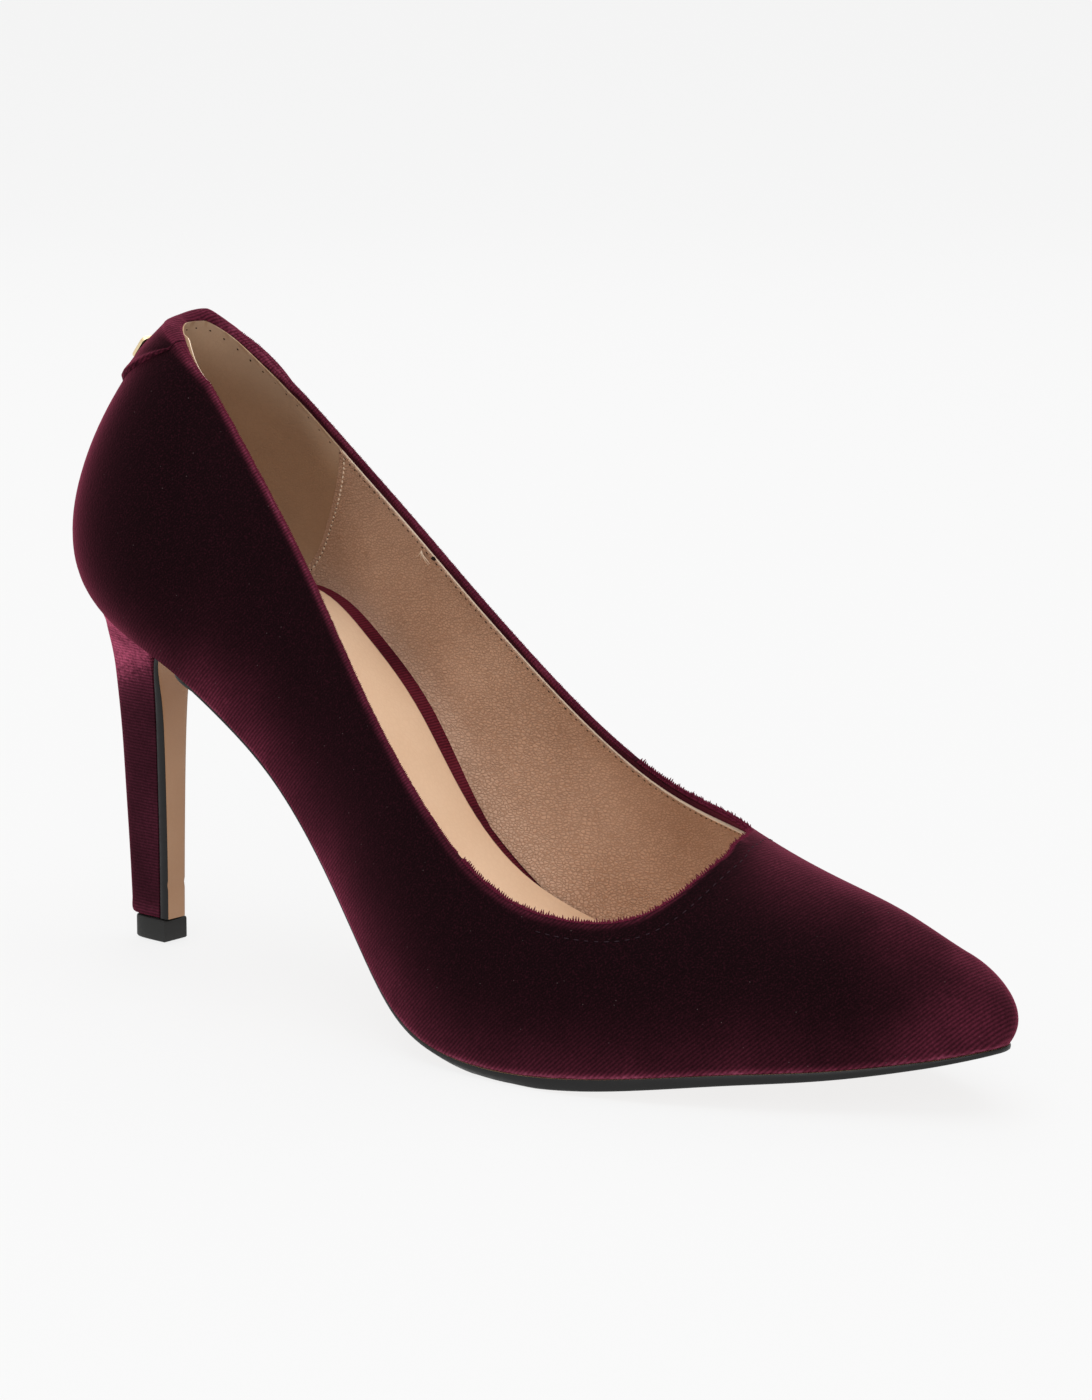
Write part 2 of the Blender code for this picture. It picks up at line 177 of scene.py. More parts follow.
def lasted_piece(name, patches):
    """One object from grids of points in millimetres, each with a material number and a nap value for
    pressed pile and painted light.
    """
    verts = []
    faces = []
    finish = []
    nap_and_light = []
    for grid, material, value in patches:
        grid = np.asarray(grid, float)
        rows, columns = grid.shape[:2]
        base = len(verts)
        verts.extend(to_frame(grid).tolist())
        nap_and_light.extend(np.broadcast_to(np.asarray(value, float), (rows, columns)).reshape(-1).tolist())
        for i in range(rows - 1):
            for j in range(columns - 1):
                a = base + i * columns + j
                faces.append((a, a + 1, a + columns + 1, a + columns))
                finish.append(material)
    mesh = bpy.data.meshes.new(name)
    mesh.from_pydata(verts, [], faces)
    mesh.polygons.foreach_set("material_index", finish)
    mesh.attributes.new("nap_and_light", "FLOAT", "POINT").data.foreach_set("value", nap_and_light)
    bm = bmesh.new()
    bm.from_mesh(mesh)
    bmesh.ops.remove_doubles(bm, verts=bm.verts, dist=MERGE)
    bmesh.ops.recalc_face_normals(bm, faces=bm.faces)
    bm.to_mesh(mesh)
    bm.free()
    mesh.shade_smooth()
    mesh.set_sharp_from_angle(angle=math.radians(SHARP_ANGLE))
    piece = bpy.data.objects.new(name, mesh)
    bpy.context.scene.collection.objects.link(piece)
    return piece


def leaf_grid(under, over, inset, steps, edge):
    """Closed leaf inside the shoe with a rounded upper edge; inset(x, side, share) is from the feather."""
    grid = []
    for x in sheet_stations(steps):
        sides = {}
        for side in (-1, 1):
            sides[side] = []
            for pull, share in LEAF_PROFILE:
                px, py = plan_point(x, side, inset(x, side, share) + pull * edge)
                sides[side].append(np.array([px, py, under(px) + (over(px) - under(px)) * share]))
        across = sides[1][-1] - sides[-1][-1]
        middle = [sides[-1][-1] + across * k / LEAF_ACROSS for k in range(1, LEAF_ACROSS)]
        ring = sides[-1] + middle + sides[1][::-1]
        grid.append(ring + ring[:1])
    return np.array(grid)


def ink(code):
    """sRGB hex colour as linear RGBA."""
    parts = [int(code[i:i + 2], 16) / 255.0 for i in (1, 3, 5)]
    return tuple(c / 12.92 if c <= 0.04045 else ((c + 0.055) / 1.055) ** 2.4 for c in parts) + (1.0,)


def feed(tree, node, inputs):
    """Sets a node's inputs, each to a value or linked to a socket or to another node's first output."""
    for key, value in inputs.items():
        if isinstance(value, bpy.types.Node):
            value = value.outputs[0]
        if isinstance(value, bpy.types.NodeSocket):
            tree.links.new(value, node.inputs[key])
        else:
            node.inputs[key].default_value = value


def add(tree, kind, inputs=None, **settings):
    """A node with its settings and its inputs."""
    made = tree.nodes.new(kind)
    for key, value in settings.items():
        setattr(made, key, value)
    feed(tree, made, inputs or {})
    return made


def blank_material(name):
    """A new material with its tree, its shader and the Object coordinates that its patterns read."""
    material = bpy.data.materials.new(name)
    material.use_nodes = True
    tree = material.node_tree
    place = add(tree, "ShaderNodeTexCoord").outputs["Object"]
    return material, tree, tree.nodes["Principled BSDF"], place


ROW_SPACING = 0.7


def velvet(name, way, pile, wine, pale_tone):
    """Woven velvet: cut pile that drinks the light face on and glows wine at a grazing angle.

    The pile stands in woven rows about 0.6 mm apart, drawn a little coarser so that they show. The nap
    value holds pressed-down pile and painted sheen: up to a half it turns from near black to wine and its
    rows come out, above that it is pale, as pile pressed flat and as a painted highlight. Single bright
    fibres and fine lint break up the dark.
    """
    material, tree, shader, place = blank_material(name)
    # woven rows, which wander a little
    wander = add(tree, "ShaderNodeTexNoise", {"Vector": place, "Scale": 420.0, "Detail": 2.0})
    along = add(tree, "ShaderNodeVectorMath", {0: place, 1: way}, operation="DOT_PRODUCT")
    shaky = add(tree, "ShaderNodeMath", {0: wander, 1: 0.0003, 2: along.outputs["Value"]},
                operation="MULTIPLY_ADD")
    phase = add(tree, "ShaderNodeMath", {0: shaky, 1: 2000.0 * math.pi / ROW_SPACING}, operation="MULTIPLY")
    wave = add(tree, "ShaderNodeMath", {0: phase}, operation="SINE")
    row = add(tree, "ShaderNodeMapRange", {0: wave, 1: -1.0, 2: 1.0, 3: 0.38, 4: 1.0})
    flattened = add(tree, "ShaderNodeMapRange", {0: wave, 1: -1.0, 2: 1.0, 3: 0.62, 4: 1.0})
    # how far the pile is crushed, with painted sheen added in places, made uneven by strokes of the hand and
    # by its fibres
    hand = add(tree, "ShaderNodeTexNoise", {"Vector": place, "Scale": 60.0, "Detail": 4.0, "Roughness": 0.5})
    fibre = add(tree, "ShaderNodeTexNoise", {"Vector": place, "Scale": 1500.0, "Detail": 3.0})
    nap_and_light = add(tree, "ShaderNodeAttribute", attribute_name="nap_and_light").outputs["Fac"]
    stroke = add(tree, "ShaderNodeMapRange", {0: hand, 1: 0.34, 2: 0.68, 3: 0.55, 4: 1.45})
    ragged = add(tree, "ShaderNodeMapRange", {0: fibre, 1: 0.3, 2: 0.7, 3: 0.7, 4: 1.3})
    worked = add(tree, "ShaderNodeMath", {0: nap_and_light, 1: stroke}, operation="MULTIPLY")
    uneven = add(tree, "ShaderNodeMath", {0: worked, 1: ragged}, operation="MULTIPLY")
    turned = add(tree, "ShaderNodeMapRange", {0: uneven, 1: 0.0, 2: 0.5, 3: 0.03, 4: 1.0})
    pale_share = add(tree, "ShaderNodeMapRange", {0: uneven, 1: 0.5, 2: 1.15, 3: 0.0, 4: 1.0})
    # near black, wine on the turned rows and on single tips, pale where it is crushed; the wine and the pale
    # also serve as painted sheen and painted highlight
    glow = add(tree, "ShaderNodeMath", {0: turned, 1: row}, operation="MULTIPLY")
    tips = add(tree, "ShaderNodeTexNoise", {"Vector": place, "Scale": 2900.0, "Detail": 2.0})
    single = add(tree, "ShaderNodeMapRange", {0: tips, 1: 0.5, 2: 0.72, 3: 0.0, 4: 0.12})
    lift = add(tree, "ShaderNodeMath", {0: glow, 1: single}, operation="ADD", use_clamp=True)
    stroked = add(tree, "ShaderNodeMix", {"Factor": lift, 6: ink(pile), 7: ink(wine)}, data_type="RGBA")
    pale = add(tree, "ShaderNodeMath", {0: pale_share, 1: flattened}, operation="MULTIPLY")
    face = add(tree, "ShaderNodeMix", {"Factor": pale, 6: stroked.outputs[2], 7: ink(pale_tone)},
               data_type="RGBA")
    # one speck of lint in five cells
    specks = add(tree, "ShaderNodeTexVoronoi", {"Vector": place, "Scale": 640.0})
    speck = add(tree, "ShaderNodeMapRange", {
        0: specks.outputs["Distance"], 1: 0.03, 2: 0.08, 3: 0.22, 4: 0.0,
    })
    chance = add(tree, "ShaderNodeSeparateColor", {0: specks.outputs["Color"]})
    keep = add(tree, "ShaderNodeMath", {0: chance, 1: 0.8}, operation="GREATER_THAN")
    lint = add(tree, "ShaderNodeMath", {0: speck, 1: keep}, operation="MULTIPLY")
    dusted = add(tree, "ShaderNodeMix", {"Factor": lint, 6: face.outputs[2], 7: ink("#A08C8C")},
                 data_type="RGBA")
    relief = add(tree, "ShaderNodeMath", {0: glow, 1: 0.8, 2: fibre}, operation="MULTIPLY_ADD")
    bump = add(tree, "ShaderNodeBump", {"Strength": 0.4, "Distance": 0.0003, "Height": relief})
    feed(tree, shader, {
        "Base Color": dusted.outputs[2], "Normal": bump, "Roughness": 0.95, "Specular IOR Level": 0.03,
        "Sheen Weight": 0.85, "Sheen Roughness": 0.36, "Sheen Tint": ink("#963A54"),
    })
    return material


DIAGONAL_ROWS = (0.7071, 0.0, -0.7071)
LEVEL_ROWS = (0.0, 0.0, 1.0)
COVER_INSET = 1.75
LEAF_STEPS = 90
LEAF_EDGE = 0.5


def bed_inset(x, side, share):
    """Inset of the insole's edge, which follows the flaring wall up and out to the lining."""
    flare = float(last["flare_out" if side < 0 else "flare_in"](x))
    rise = float(bed(x) - last["feather"](x)) / (3.0 * float(last["lift"](x)))
    top = COVER_INSET - 3.0 * flare * rise * (1.0 - rise) ** 2
    return INSOLE_INSET + (top - INSOLE_INSET) * share


insole = lasted_piece("insole_cover", [
    (leaf_grid(last["feather"], bed, bed_inset, LEAF_STEPS, LEAF_EDGE), 0, 0.5),
])
insole.data.materials.append(velvet("insole velvet", DIAGONAL_ROWS, "#16070B", "#66222E", "#6E2B3A"))
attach(insole, "root")
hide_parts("insole")

# Upper
# One piece of velvet on a stiff backing, lasted over the form: a wall from the feather edge to the
# topline, closed over the vamp. Its edge is folded in at the topline, over a pad round the back.
TOE_FALL = 0.46
THROAT = 179.3
THROAT_START = {-1: 150.0, 1: 145.0}
THROAT_POWER = {-1: 4.8, 1: 4.0}
THROAT_SQUARE = {-1: 3.0, 1: 4.0}
RIDGE_SWING = 2.2
CORNER_SWING = 4.8
SWING_IN = (140.0, 165.0)
SWING_OUT = (186.0, 212.0)
RIM_HALF = 0.62
PAD_WIDE = 1.4
PAD_TALL = 0.18
PAD_ENDS = (50.0, 22.0)
PAD_RISE = (0.35, 1.0)
WALL_ROWS = 44
WALL_ENDS = (24, 14)
SIDE_SECTIONS = 84
VAMP_SECTIONS = 26
THROAT_STEP = 0.008
RIM_LINES = 13
FINE_SHARES = np.linspace(0.0, 1.0, 801)
# how deep the zones of painted sheen (low on the sides, at the waist, on the ridge) and the lines of crushed
# pile reach
LOW_SHEEN_ZONE = 8.0
WAIST_SHEEN_ZONE = 3.0
SOLE_LINE = 0.8
FOLD_LINE = 0.8
RIDGE_SHEEN_ZONE = 11.0
TOPLINE_COLUMNS = ("x", "outer", "inner")
TOPLINE = (
    (25.0, 139.9, 139.9),
    (30.0, 138.4, 136.7),
    (37.0, 134.8, 131.7),
    (45.0, 128.2, 125.9),
    (60.0, 114.0, 112.4),
    (80.0, 92.3, 96.2),
    (100.0, 69.8, 78.6),
    (120.0, 51.5, 61.3),
    (135.0, 40.5, 52.2),
    (150.0, 34.5, 47.9),
    (165.0, 33.0, 46.2),
    (180.0, 32.5, 43.2),
)
topline = {-1: spline(TOPLINE, TOPLINE_COLUMNS, "outer"), 1: spline(TOPLINE, TOPLINE_COLUMNS, "inner")}


def fade(x, low, high):
    """Smooth step from 0 at low to 1 at high; the ends may lie either way round."""
    share = np.clip((x - low) / (high - low), 0.0, 1.0)
    return share * share * (3.0 - 2.0 * share)


def heel_share(x):
    """1 round the back of the heel, fading to 0 at the waist."""
    return float(fade(x, *PAD_ENDS))


def rim_wide(x):
    """Half the thickness of the folded rim, padded round the back."""
    return RIM_HALF + PAD_WIDE * heel_share(x)


def rim_tall(x):
    """Height of the roll on the folded rim."""
    return RIM_HALF + PAD_TALL * heel_share(x)


def wall_depth(x, share):
    """Thickness of the velvet wall; the pad at the back swells towards the rim."""
    return 2.0 * RIM_HALF + 2.0 * PAD_WIDE * heel_share(x) * fade(share, *PAD_RISE)


def outer_way(x, share, normal):
    """From the inside of the wall to its outside: square to it, but level at the padded rim."""
    level = normal * (1.0, 1.0, 0.0)
    level = level / np.maximum(np.linalg.norm(level, axis=-1, keepdims=True), 1e-9)
    turn = np.asarray(heel_share(x) * fade(share, *PAD_RISE))[..., None]
    way = normal * (1.0 - turn) + level * turn
    return way / np.linalg.norm(way, axis=-1, keepdims=True)


def bezier(a, b, c, d, t):
    """Cubic curve through a and d."""
    s = 1.0 - t
    return a * s ** 3 + 3.0 * b * s * s * t + 3.0 * c * s * t * t + d * t ** 3


def wall_heights(x, t):
    """Height of the upper's outside at station x; t is 0 at the feather edge and 1 at the crown."""
    crown = float(last["crown"](min(x, TOE_CENTRE)))
    foot = float(last["feather"](x))
    front = max((x - TOE_CENTRE) / (TOE_END - TOE_CENTRE), 0.0)
    shoulder = crown - TOE_FALL * float(last["shoulder"](x)) * front
    return bezier(foot, foot + float(last["lift"](x)), shoulder, crown, t)


def section_points(x, side, t):
    """Points of one section of the upper's outside, for an array of t."""
    edge = feather_point(x, side)
    centre = fan_centre(x)
    inward = centre - edge
    reach = float(np.linalg.norm(inward))
    flare = float(last["flare_out" if side < 0 else "flare_in"](x))
    radius = bezier(reach, reach + flare, float(last["shoulder"](x)), 0.0, t)
    plan = centre[None, :] - (inward / reach)[None, :] * radius[:, None]
    return np.column_stack([plan, wall_heights(x, t)])


def wall_points(x, side, t):
    """Points on the outside of the upper; near the throat, which runs askew, the sections swing back."""
    points = section_points(x, side, t)
    near = float(fade(x, *SWING_IN) * (1.0 - fade(x, *SWING_OUT)))
    if near == 0.0:
        return points
    if side < 0:
        swing = RIDGE_SWING * fade(t, 0.88, 1.0)
    else:
        swing = CORNER_SWING * fade(t, 0.4, 0.8) + (RIDGE_SWING - CORNER_SWING) * fade(t, 0.86, 1.0)
    forward = section_points(x + 0.5, side, t) - section_points(x - 0.5, side, t)
    return points - forward * (near * swing)[:, None]


def share_where(over, t):
    """First place where a falling margin is used up."""
    k = int(np.argmax(over > 0.0))
    if k == 0:
        return 1.0
    return float(t[k - 1] + (t[k] - t[k - 1]) * over[k - 1] / (over[k - 1] - over[k]))


def share_at_height(x, height):
    """Where the wall at station x reaches a height."""
    return share_where(wall_heights(x, FINE_SHARES) - height, FINE_SHARES)


def share_at_top(x, side, drop):
    """Where the wall ends, a drop below the topline; the throat closes it to the crown."""
    throat = THROAT + drop
    if x >= throat - 1e-6:
        return 1.0
    points = wall_points(x, side, FINE_SHARES)
    base = share_where(points[:, 2] - topline[side](points[:, 0]) + drop, FINE_SHARES)
    start = THROAT_START[side] + drop
    along = min(max((x - start) / (throat - start), 0.0), 1.0)
    closed = 1.0 - (1.0 - along ** THROAT_POWER[side]) ** (1.0 / THROAT_SQUARE[side])
    return base + (1.0 - base) * closed


def wall_stations(throat):
    """Sections from the back of the heel to the tip of the toe, close together near the throat."""
    back, toe = round_ends(HEEL_END, TOE_END, *WALL_ENDS)
    side = [HEEL_CENTRE + (throat - HEEL_CENTRE) * math.sin(0.5 * math.pi * i / SIDE_SECTIONS)
            for i in range(SIDE_SECTIONS)]
    vamp = list(np.linspace(throat, TOE_CENTRE, VAMP_SECTIONS))
    return back + side + [throat - THROAT_STEP] + vamp + toe


def wall_loop(throat):
    """Sections once round the shoe: heel to toe on the outer side, back on the inner side."""
    xs = wall_stations(throat)
    return [(x, -1) for x in xs] + [(x, 1) for x in xs[-2:0:-1]]


def wall_frame(loop, k, t):
    """Points and outward normals of section k, for an array of t."""
    small = 0.002
    point = wall_points(*loop[k], t)
    run = wall_points(*loop[(k + 1) % len(loop)], t) - wall_points(*loop[k - 1], t)
    above = wall_points(*loop[k], np.minimum(t + small, 1.0))
    below = wall_points(*loop[k], np.maximum(t - small, 0.0))
    normal = np.cross(run, above - below)
    ridge = np.cross(run, np.column_stack([-run[:, 1], run[:, 0], np.zeros(len(t))]))
    normal = np.where((t > 0.9999)[:, None], ridge, normal)
    size = np.linalg.norm(normal, axis=1)
    pole = np.array([TOE_FALL, 0.0, 1.0]) / math.hypot(TOE_FALL, 1.0)
    normal = np.where(size[:, None] > 1e-7, normal / np.maximum(size, 1e-12)[:, None], pole[None, :])
    return point, normal


def topline_frame(loop, drop, depth):
    """Edge round the opening: points, outward normals, the way into the opening, and stations."""
    throat = THROAT + drop(THROAT, 1)
    edge = []
    outward = []
    stations = []
    for k, (x, side) in enumerate(loop):
        if x > throat + 1e-6 or (side > 0 and x > throat - 1e-6):
            continue
        point, normal = wall_frame(loop, k, np.array([share_at_top(x, side, drop(x, side))]))
        outward.append(outer_way(x, 1.0, normal[0]))
        edge.append(point[0] - outward[-1] * depth(x))
        stations.append((x, side))
    edge = np.array(edge)
    outward = np.array(outward)
    inward = np.cross(outward, np.roll(edge, -1, axis=0) - np.roll(edge, 1, axis=0))
    inward /= np.linalg.norm(inward, axis=1)[:, None]
    return edge, outward, inward, stations


loop = wall_loop(THROAT + RIM_HALF)
even = np.linspace(0.0, 1.0, WALL_ROWS + 1)
rows_up = 0.42 * even + 0.58 * (0.5 - 0.5 * np.cos(math.pi * even))
outside = []
inside = []
upper_nap_and_sheen = []
for k in list(range(len(loop))) + [0]:
    x, side = loop[k]
    point, normal = wall_frame(loop, k, rows_up * share_at_top(x, side, rim_tall(x)))
    outside.append(point)
    inside.append(point - outer_way(x, rows_up, normal) * wall_depth(x, rows_up)[:, None])
    # how far the pile is crushed along the sole and the folded edge, plus painted sheen low on the sides, on
    # the ridge of the vamp and at the toe
    from_sole = np.linalg.norm(point - point[0], axis=1)
    from_end = np.linalg.norm(point - point[-1], axis=1)
    waist = float(fade(x, 46.0, 62.0) * (1.0 - fade(x, 112.0, 142.0)))
    ball = float(fade(x, 130.0, 150.0))
    toe = float(fade(x, 214.0, 236.0))
    vamp = float(fade(x, THROAT + RIM_HALF, THROAT + RIM_HALF + 8.0))
    # painted sheen: a wine band low on the sides, deeper at the waist, stronger at the waist and the toe
    low_sheen_deep = LOW_SHEEN_ZONE + WAIST_SHEEN_ZONE * waist
    low_sheen = (0.17 + 0.2 * waist + 0.1 * toe) * np.exp(-(from_sole / low_sheen_deep) ** 1.5)
    sole_line = (0.42 + 0.16 * ball) * float(fade(x, 46.0, 56.0)) * np.exp(-(from_sole / SOLE_LINE) ** 2)
    fold = (0.32 - 0.14 * ball) * (x <= THROAT + RIM_HALF) * np.exp(-(from_end / FOLD_LINE) ** 2)
    # painted sheen on the ridge of the vamp; the last term paints sheen on the tip of the toe
    ridge = 0.17 * vamp * np.exp(-(from_end / RIDGE_SHEEN_ZONE) ** 2)
    upper_nap_and_sheen.append(low_sheen + sole_line + fold + ridge + 0.12 * toe ** 3)
edge, edge_out, edge_in, edge_stations = topline_frame(loop, lambda x, side: rim_tall(x), lambda x: 0.0)
wide = np.array([rim_wide(x) for x, side in edge_stations])[:, None]
tall = np.array([rim_tall(x) for x, side in edge_stations])[:, None]


def rim_line(angle):
    """Line along the rolled rim, at an angle from its outside over its top to its inside."""
    return edge - edge_out * wide * (1.0 - math.cos(angle)) + edge_in * tall * math.sin(angle)


rim = np.array([rim_line(angle) for angle in np.linspace(0.0, math.pi, RIM_LINES)])
rim_nap = np.array([0.46 - 0.34 * float(fade(x, 105.0, 140.0)) for x, side in edge_stations])
outside = np.array(outside)
inside = np.array(inside)
upper = lasted_piece("upper_velvet", [
    (outside, 0, np.array(upper_nap_and_sheen)),
    (inside, 0, 0.0),
    (np.concatenate([rim, rim[:, :1]], axis=1), 0, np.append(rim_nap, rim_nap[0])[None, :]),
    (np.array([outside[:, 0], inside[:, 0]]), 0, 0.5),
])
# the columns of the toe meet in one point; a little smoothing takes the kink out of it
TOE_SMOOTH = 0.0035
TOE_PASSES = 8
bm = bmesh.new()
bm.from_mesh(upper.data)
toe_pole = Vector(to_frame(outside[len(outside) // 2, -1])[0].tolist())
near_pole = [vertex for vertex in bm.verts if (vertex.co - toe_pole).length < TOE_SMOOTH]
for _ in range(TOE_PASSES):
    bmesh.ops.smooth_vert(
        bm, verts=near_pole, factor=0.5, use_axis_x=True, use_axis_y=True, use_axis_z=True)
bm.to_mesh(upper.data)
bm.free()
upper.data.materials.append(velvet("upper velvet", DIAGONAL_ROWS, "#080405", "#5E2334", "#8A4258"))
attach(upper, "root")
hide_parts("upper")

# Pile along the topline
# The cut pile of the velvet stands out from the folded edge as a fringe of small tufts, longest along
# the throat. It is the velvet itself, sewn down by a row of dark stitches 3 mm below the edge.
TUFT_ROWS_COLUMNS = ("name", "angle", "step", "length", "width")
TUFT_ROWS = (
    ("side_pile_1", 0.9, 0.42, 0.26, 0.34),
    ("side_pile_2", 1.5, 0.40, 0.30, 0.34),
    ("side_pile_3", 2.2, 0.42, 0.30, 0.34),
    ("throat_pile_1", 0.8, 0.60, 0.7, 0.55),
    ("throat_pile_2", 1.4, 0.56, 0.9, 0.55),
    ("throat_pile_3", 2.0, 0.60, 0.65, 0.55),
)
TUFT_LEAN = 0.3
TUFT_RISE = 0.5
FRINGE_FROM = 132.0
STITCH_FROM = 153.0
STITCH_DROP = 3.3
STITCH_PROUD = 0.02


def row_tree(name, sizes, shape):
    """Geometry nodes: one small shape, turned and sized by its own nodes, at each step along a path."""
    tree = bpy.data.node_groups.new(name, "GeometryNodeTree")
    tree.interface.new_socket("Path", in_out="INPUT", socket_type="NodeSocketGeometry")
    for label in sizes:
        tree.interface.new_socket(label, in_out="INPUT", socket_type="NodeSocketFloat")
    tree.interface.new_socket("Material", in_out="INPUT", socket_type="NodeSocketMaterial")
    tree.interface.new_socket("Row", in_out="OUTPUT", socket_type="NodeSocketGeometry")
    given = add(tree, "NodeGroupInput").outputs
    curve = add(tree, "GeometryNodeMeshToCurve", {"Mesh": given["Path"]})
    steps = add(tree, "GeometryNodeResampleCurve", {"Curve": curve, "Length": given["Step"]}, mode="LENGTH")
    out = add(tree, "GeometryNodeInputNamedAttribute", {"Name": "out"}, data_type="FLOAT_VECTOR")
    one, turned, scale = shape(tree, given, out)
    placed = add(tree, "GeometryNodeInstanceOnPoints", {
        "Points": steps, "Instance": one, "Rotation": turned, "Scale": scale,
    })
    real = add(tree, "GeometryNodeRealizeInstances", {0: placed})
    dressed = add(tree, "GeometryNodeSetMaterial", {"Geometry": real, "Material": given["Material"]})
    add(tree, "NodeGroupOutput", {0: dressed})
    return tree


def tuft(tree, given, out):
    """A thin cone of pile that leans a little at random."""
    stray = add(tree, "FunctionNodeRandomValue", {0: (-1.0, -1.0, -1.0), 1: (1.0, 1.0, 1.0), "Seed": 7},
                data_type="FLOAT_VECTOR")
    sway = add(tree, "ShaderNodeVectorMath", {0: stray, "Scale": given["Lean"]}, operation="SCALE")
    aim = add(tree, "ShaderNodeVectorMath", {0: out, 1: sway}, operation="ADD")
    turned = add(tree, "FunctionNodeAlignRotationToVector", {"Vector": aim}, axis="Z")
    size = add(tree, "FunctionNodeRandomValue", {2: 0.45, 3: 1.3, "Seed": 11}, data_type="FLOAT")
    long = add(tree, "ShaderNodeMath", {0: given["Length"], 1: size.outputs[1]}, operation="MULTIPLY")
    scale = add(tree, "ShaderNodeCombineXYZ", {0: given["Width"], 1: given["Width"], 2: long})
    cone = add(tree, "GeometryNodeMeshCone", {
        "Vertices": 5, "Radius Top": 0.15, "Radius Bottom": 1.0, "Depth": 1.0,
    })
    return cone, turned, scale


def grown(name, tree, path, out, sizes, material):
    """Runs a tree along a path in millimetres and keeps the result as a plain mesh."""
    mesh = bpy.data.meshes.new(name)
    mesh.from_pydata(to_frame(path).tolist(), [(i, i + 1) for i in range(len(path) - 1)], [])
    flat = np.asarray(out, float).reshape(-1)
    mesh.attributes.new("out", "FLOAT_VECTOR", "POINT").data.foreach_set("vector", flat)
    piece = bpy.data.objects.new(name, mesh)
    bpy.context.scene.collection.objects.link(piece)
    row = piece.modifiers.new("row", "NODES")
    row.node_group = tree
    given = {label: 0.001 * size for label, size in sizes.items()}
    given.update({"Lean": TUFT_LEAN, "Material": material})
    for socket in tree.interface.items_tree:
        if socket.in_out == "INPUT" and socket.name in given:
            row[socket.identifier] = given[socket.name]
    seen = piece.evaluated_get(bpy.context.evaluated_depsgraph_get())
    piece.data = bpy.data.meshes.new_from_object(seen)
    piece.modifiers.remove(row)
    bpy.data.meshes.remove(mesh)
    return piece


tufts = row_tree("pile tufts", ("Step", "Length", "Width", "Lean"), tuft)
# the tufts take a wine base colour where the pile is near black: painted sheen on the pile seen edge on
lit_tuft_pile = velvet("cut pile tufts", DIAGONAL_ROWS, "#561A2C", "#702A3E", "#8A4258")
at_throat = [k for k, (x, side) in enumerate(edge_stations) if x > FRINGE_FROM]
outer_side = [k for k, (x, side) in enumerate(edge_stations) if x <= FRINGE_FROM and side < 0]
inner_side = [k for k, (x, side) in enumerate(edge_stations) if x <= FRINGE_FROM and side > 0]
# on the outer side the pile stands up as well as out
upright = np.array([(0.0, 0.0, TUFT_RISE * (side < 0)) for x, side in edge_stations])
for row in TUFT_ROWS:
    sizes = dict(zip(TUFT_ROWS_COLUMNS, row))
    columns = at_throat if sizes["name"].startswith("throat") else inner_side + outer_side
    way = edge_out * math.cos(sizes["angle"]) + edge_in * math.sin(sizes["angle"]) + upright
    path = rim_line(sizes["angle"])
    fringe = grown(
        sizes["name"], tufts, path[columns], way[columns],
        {"Step": sizes["step"], "Length": sizes["length"], "Width": 0.5 * sizes["width"]}, lit_tuft_pile)
    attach(fringe, "root")


def stitch(tree, given, out):
    """A padded stitch that lies on the face it is sewn to, along its seam."""
    lying = add(tree, "FunctionNodeAlignRotationToVector", {"Vector": out}, axis="Z")
    run = add(tree, "GeometryNodeInputTangent")
    turned = add(tree, "FunctionNodeAlignRotationToVector", {"Rotation": lying, "Vector": run},
                 axis="X", pivot_axis="Z")
    size = add(tree, "FunctionNodeRandomValue", {2: 0.8, 3: 1.15, "Seed": 3}, data_type="FLOAT")
    long = add(tree, "ShaderNodeMath", {0: given["Length"], 1: size.outputs[1]}, operation="MULTIPLY")
    scale = add(tree, "ShaderNodeCombineXYZ", {0: long, 1: given["Width"], 2: given["Width"]})
    pad = add(tree, "GeometryNodeMeshUVSphere", {"Segments": 6, "Rings": 5, "Radius": 0.5})
    soft = add(tree, "GeometryNodeSetShadeSmooth", {0: pad})
    return soft, turned, scale


def grained(name, grain_scale, detail, tones, gloss, relief, shine):
    """A plain skin with one fine grain that varies its colour, its gloss and its relief."""
    material, tree, shader, place = blank_material(name)
    grain = add(tree, "ShaderNodeTexNoise", {"Vector": place, "Scale": grain_scale, "Detail": detail})
    tone = add(tree, "ShaderNodeMix", {"Factor": grain, 6: ink(tones[0]), 7: ink(tones[1])},
               data_type="RGBA")
    rough = add(tree, "ShaderNodeMapRange", {0: grain, 1: 0.3, 2: 0.7, 3: gloss[0], 4: gloss[1]})
    feed(tree, shader, {"Base Color": tone.outputs[2], "Roughness": rough, "Specular IOR Level": shine})
    if relief:
        bump = add(tree, "ShaderNodeBump", {"Strength": relief[0], "Distance": relief[1], "Height": grain})
        feed(tree, shader, {"Normal": bump})
    return material


def thread(name, light, shade, roughness):
    """Spun sewing thread: fine fibres with a slightly varied colour and a soft gloss."""
    return grained(name, 2500.0, 3.0, (light, shade), (roughness, roughness), (0.3, 0.0001), 0.15)


stitches = row_tree("stitch row", ("Step", "Length", "Width"), stitch)
seam_loop = wall_loop(THROAT + STITCH_DROP)
seam, seam_out, _, seam_stations = topline_frame(
    seam_loop, lambda x, side: STITCH_DROP, lambda x: -STITCH_PROUD)
throat_only = [k for k, (x, side) in enumerate(seam_stations) if x > STITCH_FROM]
throat_thread = thread("wine thread", "#33202A", "#160A0E", 0.8)
throat_row = grown("throat_stitches", stitches, seam[throat_only], seam_out[throat_only],
                   {"Step": 2.1, "Length": 1.2, "Width": 0.24}, throat_thread)
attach(throat_row, "root")

